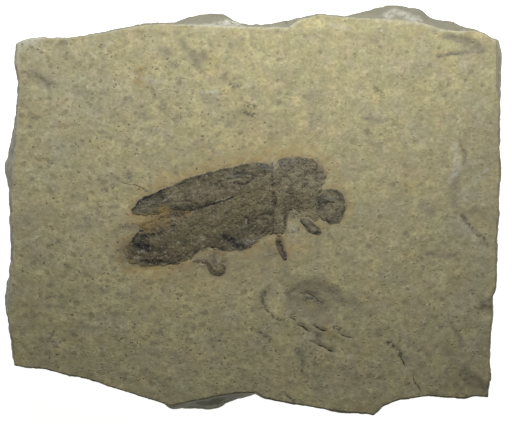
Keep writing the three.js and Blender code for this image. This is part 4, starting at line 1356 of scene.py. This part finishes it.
# %% Tints on the film
FILM_MARKS["ash"] = [
    (1, 0.6, [(-13, -2), (-9.5, -0.9)]),
    (1.5, 0.8, [(4, 5.6), (6.5, 5.4), (8.4, 4.6)]),
    (1.4, 0.5, [(5, 3), (7.5, 2.6)]),
    (1.2, 0.6, [(10, 1), (11, -0.4)]),
    (1.2, 0.5, [(-11, 1.6), (-6, 2.6), (-3, 3.2)]),
    (0.6, 0.25, [(-15.6, 0.1), (-13.4, 1.2)]),
    (0.6, 0.9, [(-7.4, -4.2), (-6.4, -4)]),
    (0.8, 0.5, [(-1.8, 3), (-0.4, 2.9)]),
]
FILM_MARKS["bloom"] = [
    (0.5, 0.6, [(-15.3, -4.6), (-14.2, -4.9)]),
    (0.6, 0.45, [(-3, 4.6), (-1, 4.9), (0, 4.4)]),
    (0.4, 0.6, [(1.2, 5.9), (2.4, 5.6)]),
    (0.7, 0.7, [(9.2, 1.2), (9.3, 0.2)]),
    (0.14, 0.9, [(9.4, 1.2), (10.1, 1.6), (11, 1.5)]),
    (0.3, 0.6, [(7.1, -1.8), (8.3, -2.7)]),
    (0.5, 0.5, [(-2.6, -4.4), (0.2, -4.3)]),
    (0.5, 0.4, [(3.6, 6.2), (6, 6.4)]),
]
FILM_MARKS["olive"] = [
    (2.4, 1, [(-9, -3.4), (-5, -2), (-1, 0.4)]),
    (1.2, 0.5, [(-0.5, 3), (1.5, 2.4)]),
    (1.5, 0.5, [(-14, -5.5), (-10, -4.4)]),
    (1, 0.4, [(5.5, 1.5), (8, 2)]),
    (0.8, 0.7, [(-6, -7.3), (-4.8, -8.3), (-3.9, -7.6)]),
    (0.6, 0.6, [(6.6, -1.6), (8.6, -2.9)]),
]
FILM_MARKS["umber"] = [
    (1, 0.7, [(-17, -6.6), (-14, -6.7), (-10, -6.4)]),
    (0.5, 0.6, [(-8.5, 0.7), (-6.5, 1.2)]),
    (1.2, 0.5, [(-9, 2.4), (-3, 3.2)]),
    (0.7, 0.4, [(-8.6, -5.3), (-5, -4.6)]),
    (0.3, 0.6, [(4.1, 3.4), (4.4, 3.4)]),
    (0.6, 0.6, [(3.5, -4), (4.1, -6.2)]),
    (0.3, 0.6, [(8.2, -1.9), (8.8, -2.4)]),
    (0.25, 0.5, [(12.2, 1.4), (12.3, 0)]),
]
for kind in ("ash", "bloom", "olive", "umber"):
    print(len(FILM_MARKS[kind]), "strokes of", kind)

# %% Worn and chalky places, and one painted highlight
FILM_MARKS["faint"] = [
    (0.8, 0.6, [(-14.6, -2), (-13.2, -1.6), (-12, -0.8)]),
    (0.45, 0.95, [(-12.1, 0), (-11.5, -0.1)]),
    (0.6, 0.6, [(-17.2, -4.8), (-17.1, -6.3), (-16.4, -7.1)]),
    (1, 0.6, [(6.6, -0.3), (7.6, -0.4), (8.6, -0.8)]),
    (0.35, 0.4, [(-5.3, -6.6), (-5, -7.4)]),
    (1.5, 0.2, [(-6, -7), (-4, -7.6)]),
    (0.4, 0.35, [(3.55, 2.8), (3.6, 0.5), (3.5, -1), (3.7, -2.8)]),
    (0.3, 0.3, [(3.1, 6.2), (3.2, 5.6)]),
    (0.3, 0.35, [(6.4, -1.2), (7, -1.5)]),
    (0.3, 0.7, [(7.95, -2.4), (8.35, -2.65)]),
    (0.22, 0.8, [(3.3, -3.75), (3.9, -3.75)]),
    (0.3, 0.3, [(-6.8, -6.6), (-7.6, -6.6)]),
]
FILM_MARKS["thin"] = [
    (0.8, 0.3, [(-13.6, -2.3), (-11.6, -2.2), (-10.4, -1.4)]),
    (0.4, 0.2, [(-9.4, -5.2), (-7.6, -4.4)]),
    (0.18, 0.4, [(7.2, -1.8), (8.3, -2.6)]),
    (0.4, 0.3, [(-0.5, 3.4), (1.6, 2.2)]),
    (0.4, 0.35, [(0.6, -0.9), (1.2, -2.4)]),
    (0.3, 0.5, [(4, 3.6), (4.5, 3.3)]),
    (0.4, 0.3, [(-6, -3), (-4.2, -2.2)]),
]
FILM_MARKS["chalk"] = [
    (0.3, 0.6, [(2.9, 6.4), (3.1, 5.7)]),
    (0.25, 0.7, [(-15.7, -6.4), (-15.4, -6.4)]),
    (0.5, 0.18, [(-15.6, 0.1), (-14.2, 0.6), (-13, 1.1)]),
    (0.3, 0.5, [(-0.9, -4.5), (0, -4.1)]),
    (0.2, 0.5, [(-10.1, -4.4), (-9.9, -4.4)]),
    (0.2, 0.5, [(-6.9, -3.6), (-6.6, -3.9)]),
    (0.18, 0.5, [(-6.7, -6.3), (-6.4, -6.3)]),
    (0.14, 0.6, [(-5.4, 2.9), (-5.2, 2.9)]),
    # Painted highlight on that edge of the left wing case.
    (0.07, 0.9, [(-5, 1.14), (-4, 1.5), (-3.2, 1.76)]),
    (0.2, 0.6, [(-10.7, -0.9), (-10.4, -1.6)]),
    (0.2, 0.5, [(-15.2, -5.6), (-14.6, -5.5)]),
    (0.14, 0.5, [(-0.9, -1.9), (-0.9, -1.3)]),
    (0.12, 0.5, [(-12, 1.3), (-10.8, 1.9)]),
]
for kind in ("faint", "thin", "chalk"):
    print(len(FILM_MARKS[kind]), kind, "strokes")

# %% Height of the film
SKIRT = 0.25
SHOWN = 0.12
BURIED = 0.07
CRUST = 0.115
TORN_WIDTH, TORN_SHARE = 0.5, 0.8
DOME_SHARE = 0.25
RIB_HEIGHT = 0.05
GROOVE = 0.08
# A lump: height, size, octaves and seed. Ribbed: strokes where the ribs still show.
LUMPS = [(0.06, 0.7, 3, 31), (0.03, 0.3, 2, 32)]
RIBBED = [
    (1.2, 1, [(-4, 4.3), (0.5, 4.6)]), (1, 0.8, [(-16, -6.6), (-9, -6.4)]),
    (1.5, 0.5, [(-14, 0.8), (-8, 2.5)]), (1.5, 0.5, [(-9, -3), (0, 0.5)]),
]


def film_height(plate, places, shares, inside, joined, torn, marks):
    """Height of the crust: torn edge, low dome, ribs, lumps, and grooves under the coal-black marks."""
    u, v = shares
    held = inside + joined
    shown = SHOWN * max(0, 2 * torn / TORN_WIDTH - 1)
    ragged = inside + shown + torn * 0.5 * ripple(places, 0.7, 3, 30) + 2 * SKIRT * joined
    crust = CRUST * rise(ragged, -0.3, 0.5 * torn) * (1 - 0.5 * marks["bare"] * rise(held, 0.15, 0.5))
    arch = np.sqrt(np.maximum(0, 1 - (2 * v - 1) ** 2) * np.maximum(0, 1 - (2 * u - 1) ** 6))
    lift = (crust - BURIED) * torn / TORN_WIDTH
    height = bedding_height(places) + lift + DOME_SHARE * plate["dome"] * arch
    ribbed = np.clip(strokes_at(places, RIBBED), 0, 1)
    height += RIB_HEIGHT * ribbed * arch * np.sin(v * math.pi * plate.get("ribs", 0)) ** 2
    lumps = sum(lump * ripple(places, size, octaves, seed) for lump, size, octaves, seed in LUMPS)
    return height + lumps * rise(held, 0, torn) - GROOVE * marks["coal"] * rise(held, 0.05, 0.35)


highest_dome = DOME_SHARE * max(plate["dome"] for plate in PLATES.values())
print("the film stands", round(CRUST - BURIED, 3), "mm proud, its domes", round(highest_dome, 3), "mm more")

# %% Strength of the film's marks
BODY = {
    "left_wing_case", "right_wing_case", "abdomen", "hind_chest", "middle_chest", "pronotum", "head",
    "neck",
}
BODY_WEAR, LIMB_WEAR = 0.8, 0.5
WORN_WIDTH = 0.18
MARK_WANDER = 0.2
JOIN_START, JOIN_END = -0.65, -0.4


def joined_at(name, places):
    """1 where a plate of the body meets another one, and 0 elsewhere and on the legs."""
    others = [depth_inside(places, OUTLINES[other]) for other in sorted(BODY - {name})]
    return rise(np.max(others, axis=0), JOIN_START, JOIN_END) * (name in BODY)


def film_marks_at(name, places, inside, joined, torn):
    """Every mark's strength on a plate. Its margin is worn in a ragged band that lets the stone show."""
    marks = {
        mark: np.clip(strokes_at(places, strokes, MARK_WANDER), 0, 1)
        for mark, strokes in FILM_MARKS.items()
    }
    fray = 0.5 * torn * ripple(places, 0.8, 3, 34)
    wear = BODY_WEAR if name in BODY else LIMB_WEAR
    thin = marks.pop("thin") + wear * rise(fray - inside - joined, -WORN_WIDTH, WORN_WIDTH)
    thin = rise(thin + 0.3 * ripple(places, 0.6, 4, 35), 0.15, 0.75)
    marks["bare"] = np.maximum(thin, marks.pop("faint"))
    marks["rust"] = np.clip(strokes_at(places, STAINS["rust"]), 0, 1)
    patches = rise(ripple(places, 1.4, 2, 33), -0.3, 0.3)
    marks["crumbly"] = rise(inside + joined, 0, 0.15) * (0.4 + 0.6 * patches)
    return marks


print(len(BODY), "plates belong to the body,", len(PLATES) - len(BODY), "to the legs")

# %% Make the plates
FILM_FOOT = 7.52
FINISH = {
    "abdomen": "rusty_film", "front_leg": "leg_film", "middle_leg": "leg_film", "hind_leg": "leg_film",
    "hind_foot": "leg_film",
}


def underside_faces(foot, columns, rows):
    """Closes a plate from below: one face between the two margins for each step along them."""
    foot = foot.tolist()
    front, back = foot[:columns + 1], foot[columns + rows:2 * columns + rows + 1][::-1]
    left, right = foot[:2 * columns + rows:-1], foot[columns + rows - 1:columns:-1]
    faces = [[front[i], back[i], back[i + 1], front[i + 1]] for i in range(columns)]
    faces[0][1:1] = left
    faces[-1][-1:-1] = right
    return faces


def make_plate(name, plate):
    """One plate as a closed piece that stands for the model's plain one."""
    grid = plate_grid(plate, SKIRT)
    rows, columns = grid.shape[0] - 1, grid.shape[1] - 1
    places = grid.reshape(-1, 2)
    v, u = (share.ravel() for share in np.mgrid[0:1:(rows + 1) * 1j, 0:1:(columns + 1) * 1j])
    inside = depth_inside(places, OUTLINES[name])
    joined = joined_at(name, places)
    torn = min(TORN_WIDTH, TORN_SHARE * inside.max())
    marks = film_marks_at(name, places, inside, joined, torn)
    height = film_height(plate, places, (u, v), inside, joined, torn, marks)
    edge = grid_edge(columns, rows)
    foot = len(places) + np.arange(len(edge))
    corners = np.column_stack([places, height])
    corners = np.vstack([corners, np.column_stack([places[edge], np.full(len(edge), FILM_FOOT)])])
    faces = grid_faces(columns, rows).tolist() + wall_faces(edge, foot).tolist()
    faces += underside_faces(foot, columns, rows)
    marks = {mark: np.concatenate([strengths, 0 * foot]) for mark, strengths in marks.items()}
    finish = FILMS[FINISH.get(name, "carbon_film")]
    return new_piece(name + "_film", np.clip(corners, LOWEST, HIGHEST), faces, finish, marks)


film_pieces = {name: make_plate(name, plate) for name, plate in PLATES.items()}
for name, piece in film_pieces.items():
    print(name, len(piece.data.polygons), "faces")

# %% [markdown]
# ## Crumbs and dust
#
# Up close the film is a litter of crumbs, and the stone is sown with plant dust and coarse grains.
# Hundreds of small shapes laid on a surface are a job for Geometry Nodes: one tree scatters points
# where a mark on the mesh says, puts a turned and sized crumb on each, and makes plain mesh of them
# all. A particle system could do it too, but its copies are lost when the model leaves Blender.

# %% A crumb
def crumb_shape(name, size, seed):
    """A lump of 20 faces, about a millimetre across before it is squeezed to its size."""
    mesh = bpy.data.meshes.new(name)
    lump = bmesh.new()
    bmesh.ops.create_icosphere(lump, subdivisions=1, radius=0.5)
    corners = np.array([corner.co for corner in lump.verts])
    swollen = corners * (1 + 0.5 * ripple(corners, 0.5, 1, seed))[:, None] * size * MM
    for corner, place in zip(lump.verts, swollen):
        corner.co = place
    lump.to_mesh(mesh)
    lump.free()
    return new_object(name, mesh)


flake = crumb_shape("flake", (1, 0.7, 0.4), 40)
grain = crumb_shape("grain", (1, 0.8, 0.6), 41)
print("two shapes of", len(flake.data.polygons), "faces each")

# %% A tree that scatters crumbs
def build_scatter(board, given):
    """Crumbs laid, turned and sized at random on a surface, as many as its mark says, and a little sunk."""
    where = board.add("GeometryNodeInputNamedAttribute", 0, {"Name": given["Where"]}, data_type="FLOAT")
    density = board.product(where, board.product(given["Per square millimetre"], 1 / MM ** 2))
    spread = {"Mesh": given["Surface"], "Density": density, "Seed": given["Seed"]}
    points = board.add("GeometryNodeDistributePointsOnFaces", 0, spread)
    angle = board.add("FunctionNodeRandomValue", 1, {2: 0.0, 3: math.tau, "Seed": 1}, data_type="FLOAT")
    spin = board.add("FunctionNodeAxisAngleToRotation", 0, {"Axis": (0, 0, 1), "Angle": angle})
    turn = {0: points.node.outputs["Rotation"], 1: spin}
    turn = board.add("FunctionNodeRotateRotation", 0, turn, rotation_space="LOCAL")
    limits = {2: given["Smallest"], 3: given["Largest"], "Seed": given["Seed"]}
    size = board.add("FunctionNodeRandomValue", 1, limits, data_type="FLOAT")
    crumb = board.add("GeometryNodeObjectInfo", "Geometry", {"Object": given["Crumb"], "As Instance": True})
    laid = {"Points": points, "Instance": crumb, "Rotation": turn, "Scale": size}
    laid = board.add("GeometryNodeInstanceOnPoints", 0, laid)
    tone = board.add("FunctionNodeRandomValue", 1, {2: 0.0, 3: 1.0, "Seed": 2}, data_type="FLOAT")
    laid = {"Geometry": laid, "Name": "crumb_tone", "Value": tone}
    laid = board.add("GeometryNodeStoreNamedAttribute", 0, laid, data_type="FLOAT", domain="INSTANCE")
    down = board.add("ShaderNodeCombineXYZ", 0, {"Z": board.product(given["Sunk"], -MM)})
    laid = board.add("GeometryNodeTranslateInstances", 0, {"Instances": laid, "Translation": down})
    base = {0: given["Keep surface"], 2: given["Surface"]}
    base = board.add("GeometryNodeSwitch", 0, base, input_type="GEOMETRY")
    both = board.add("GeometryNodeJoinGeometry", 0, {"Geometry": laid})
    board.join(base, both.node, "Geometry")
    plain = board.add("GeometryNodeRealizeInstances", 0, {"Geometry": both})
    finish = {"Geometry": plain, "Material": given["Finish"]}
    return {"Result": board.add("GeometryNodeSetMaterial", 0, finish)}


GEOMETRY = "GeometryNodeTree"
RESULT = {"Result": "Geometry"}
SCATTER = new_tree(GEOMETRY, "Scatter crumbs", {
    "Surface": "Geometry", "Crumb": "Object", "Finish": "Material", "Where": "String",
    "Keep surface": "Bool", "Per square millimetre": "Float", "Smallest": "Float", "Largest": "Float",
    "Sunk": "Float", "Seed": "Int",
}, RESULT, build_scatter)


def grown(name, base, tree, inputs):
    """A piece of plain mesh, grown by a tree from the mesh of another piece, which stays as it was."""
    worker = new_object(name, base)
    modifier = worker.modifiers.new("tree", "NODES")
    modifier.node_group = tree
    for socket in tree.interface.items_tree:
        if socket.name in inputs:
            modifier[socket.identifier] = inputs[socket.name]
    mesh = bpy.data.meshes.new_from_object(worker.evaluated_get(bpy.context.evaluated_depsgraph_get()))
    worker.modifiers.clear()
    worker.data = mesh
    return worker


print("tree:", SCATTER.name, "with", len(SCATTER.nodes), "nodes")

# %% [markdown]
# ### Where crumbs lie
#
# Crumbs lie all over the film and break its edge up. On the stone, dark dust is thickest to the
# left of the beetle. The film's crumbs become part of each plate, because they are what the plate
# is made of.

# %% Lay the crumbs
# What lies there: the mark it follows, crumbs a square millimetre, smallest, largest and depth.
FILM_CRUMBS = ("crumbly", 14.0, 0.12, 0.4, 0.02)
SCATTERED = {
    "stone_grains": ("limestone", grain, limestone, "open", 0.7, 0.12, 0.32, 0.03),
    "plant_dust": ("carbon_film", flake, DUST, "specky", 0.3, 0.2, 0.55, 0.08),
    "film_scraps": ("leg_film", flake, FILMS["leg_film"], "littered", 12.0, 0.12, 0.4, 0.04),
}
FIRST_SEED = 30


def scatter_inputs(crumb, finish, where, density, smallest, largest, sunk, seed, keep=False):
    """The tree's inputs: the crumb, its finish, the mark, crumbs a square millimetre, sizes and depth."""
    return {"Crumb": crumb, "Finish": finish, "Where": where, "Per square millimetre": density,
            "Smallest": smallest, "Largest": largest, "Sunk": sunk, "Seed": seed, "Keep surface": keep}


for number, (name, piece) in enumerate(film_pieces.items()):
    finish = piece.data.materials[0]
    inputs = scatter_inputs(flake, finish, *FILM_CRUMBS, number + 1, keep=True)
    littered = grown(name + "_littered", piece.data, SCATTER, inputs)
    piece.data = littered.data
    bpy.data.objects.remove(littered)
    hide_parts(name)
    FINISH.get(name, "carbon_film")
    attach(piece, "root")

for number, (name, (slot, *settings)) in enumerate(SCATTERED.items()):
    scattered = grown(name, stone.data, SCATTER, scatter_inputs(*settings, FIRST_SEED + number))
    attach(scattered, "root")
    print(name, len(scattered.data.polygons), "faces")
for shape in (flake, grain):
    bpy.data.objects.remove(shape)
print("film with crumbs:", sum(len(piece.data.polygons) for piece in film_pieces.values()), "faces")

# %% [markdown]
# ### Dirt and painted shade in the cracks
#
# A crack shows as a crisp dark line, partly because dirt fills it and partly because it lies in
# shade. A line painted on the stone's mesh would be as coarse as its grid, so the dirt and painted
# shade are a dark thread of their own along each deep crease. A second tree draws it, and also the
# faint thread of film that trails from the upper wing case. It leaves gaps, because dirt falls out
# here and there.

# %% A tree that draws threads
THREAD_SIDES = 6


def build_threads(board, given):
    """Thin tapering threads along drawn lines. Their thickness comes from the lines' points."""
    place = board.stretch(board.add("GeometryNodeInputPosition", 0, {}), 1 / MM)
    gap = board.calc("LESS_THAN", board.noise(place, 0.9), given["Gaps"])
    kept = {"Geometry": given["Lines"], "Selection": gap}
    kept = board.add("GeometryNodeDeleteGeometry", 0, kept, domain="EDGE")
    curves = board.add("GeometryNodeMeshToCurve", 0, {"Mesh": kept})
    along = board.add("GeometryNodeSplineParameter", 0, {})
    ends = board.calc("MINIMUM", along, board.calc("SUBTRACT", 1.0, along))
    swell = board.product(board.rise(ends, -0.05, 0.25), board.rise(board.noise(place, 0.5), 0.1, 0.7))
    thick = board.add("GeometryNodeInputNamedAttribute", 0, {"Name": "thick"}, data_type="FLOAT")
    ring = board.add("GeometryNodeCurvePrimitiveCircle", 0, {"Resolution": THREAD_SIDES, "Radius": MM})
    tube = {"Curve": curves, "Profile Curve": ring, "Scale": board.product(thick, swell), "Fill Caps": True}
    tube = board.add("GeometryNodeCurveToMesh", 0, tube)
    plain = board.add("GeometryNodeRealizeInstances", 0, {"Geometry": tube})
    finish = {"Geometry": plain, "Material": given["Finish"]}
    return {"Result": board.add("GeometryNodeSetMaterial", 0, finish)}


THREAD_INPUTS = {"Lines": "Geometry", "Finish": "Material", "Gaps": "Float"}
THREADS = new_tree(GEOMETRY, "Threads", THREAD_INPUTS, RESULT, build_threads)
print("tree:", THREADS.name, "with", len(THREADS.nodes), "nodes")

# %% Lay the dirt and painted shade
THREAD_SHARE = 0.5
THREADED_DEPTH = 0.1
THREADED_WIDTH = 0.5
CRACK_GAPS, TRAIL_GAPS = 0.26, 0.2
THREAD_STEP = 0.12
FEWEST_STEPS = 4
TRAIL_RADIUS = 0.045
TRAIL = [(-18.2, 3.8), (-16.6, 3.5), (-15.2, 3.2), (-14.2, 2.6), (-13.7, 2.1)]


def drawn_lines(name, lines):
    """A mesh of bare edges along drawn lines on the stone, each with its thread's thickness."""
    places, edges, thick = [], [], []
    for radius, line in lines:
        length = np.linalg.norm(np.diff(line, axis=0), axis=1).sum()
        steps = max(FEWEST_STEPS, round(length / THREAD_STEP))
        points = smooth_line(line, steps)
        points = points - WANDER * sideways(points)
        edges += [(len(places) + k, len(places) + k + 1) for k in range(steps)]
        starts = [(x * MM, y * MM, 2 * THICKNESS * MM) for x, y in points]
        places += [stone.ray_cast(start, (0, 0, -1))[1] / MM for start in starts]
        thick += [radius] * len(points)
    mesh = bpy.data.meshes.new(name)
    mesh.from_pydata((np.array(places) * MM).tolist(), edges, [])
    keep_mark(mesh, "thick", thick)
    return mesh


# Deep, narrow creases get a dark thread: dirt and painted shade.
crack_lines = [(THREAD_SHARE * depth, line) for width, depth, line in CREASES
         if depth >= THREADED_DEPTH and width < THREADED_WIDTH]
trail = [(TRAIL_RADIUS, TRAIL)]
for name, lines, gaps in (("crack_dirt", crack_lines, CRACK_GAPS), ("film_trail", trail, TRAIL_GAPS)):
    thread = grown(name, drawn_lines(name + "_lines", lines), THREADS, {"Finish": CRACK_DIRT_AND_SHADE, "Gaps": gaps})
    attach(thread, "root")
    print(thread.name, len(thread.data.polygons), "faces")

# %% [markdown]
# ## Light, floor and camera
#
# The photograph looks straight down, and its light comes from above the back edge, where the stone
# is twice as bright as at the front. One large soft lamp there does the same, with a little light
# from all round. The camera stands 300 mm over the bedding face, with the angle of view that makes
# the stone fill the picture as it does there.

# %% Light, floor and camera
LAMP_PLACE = (5, 56, 59)
LAMP_WIDTH, LAMP_DEPTH = 110, 40
LAMP_POWER = 0.0905
FILL = 0.04
PICTURE_WIDTH = 68.27
CAMERA_PLACE = (0.4, -0.27, 308)
SENSOR = 36
FLOOR_HALF = 600
WHITE = (1, 1, 1, 1)
FLOOR_WHITE = (0.85, 0.85, 0.85, 1)
GLOW, SEEN_GLOW = 0.8, 0.15


def make_lamp():
    light = bpy.data.lights.new("lamp", "AREA")
    light.shape, light.energy = "RECTANGLE", LAMP_POWER
    light.size, light.size_y = LAMP_WIDTH * MM, LAMP_DEPTH * MM
    lamp = new_object("lamp", light)
    lamp.location = [place * MM for place in LAMP_PLACE]
    lamp.rotation_euler = (-math.atan2(LAMP_PLACE[1], LAMP_PLACE[2] - THICKNESS), 0, 0)


def make_camera():
    lens = bpy.data.cameras.new("camera")
    lens.sensor_width = SENSOR
    lens.lens = SENSOR * (CAMERA_PLACE[2] - THICKNESS) / PICTURE_WIDTH
    lens.clip_start, lens.clip_end = 10 * MM, 5
    camera = new_object("camera", lens)
    camera.location = [place * MM for place in CAMERA_PLACE]
    bpy.context.scene.camera = camera


def make_floor():
    """A plain white floor. It glows a little more where the camera sees it, so it stays white all over."""
    material, shader, board = new_material("floor_white", 0.95)
    shader.inputs["Base Color"].default_value = FLOOR_WHITE
    shader.inputs["Emission Color"].default_value = WHITE
    seen = board.add("ShaderNodeLightPath", "Is Camera Ray", {})
    board.join(board.calc("MULTIPLY_ADD", seen, SEEN_GLOW, GLOW), shader, "Emission Strength")
    half = FLOOR_HALF * MM
    mesh = bpy.data.meshes.new("floor")
    corners = [(-half, -half, 0), (half, -half, 0), (half, half, 0), (-half, half, 0)]
    mesh.from_pydata(corners, [], [(0, 1, 2, 3)])
    mesh.materials.append(material)
    floor = new_object("floor", mesh)


def make_fill():
    world = bpy.data.worlds.new("studio")
    world.use_nodes = True
    background = world.node_tree.nodes["Background"]
    background.inputs["Color"].default_value = WHITE
    background.inputs["Strength"].default_value = FILL
    bpy.context.scene.world = world


make_lamp()
make_camera()
make_floor()
make_fill()
bpy.context.scene.view_settings.view_transform = "Standard"
print("light, floor and camera in place")

# %% [markdown]
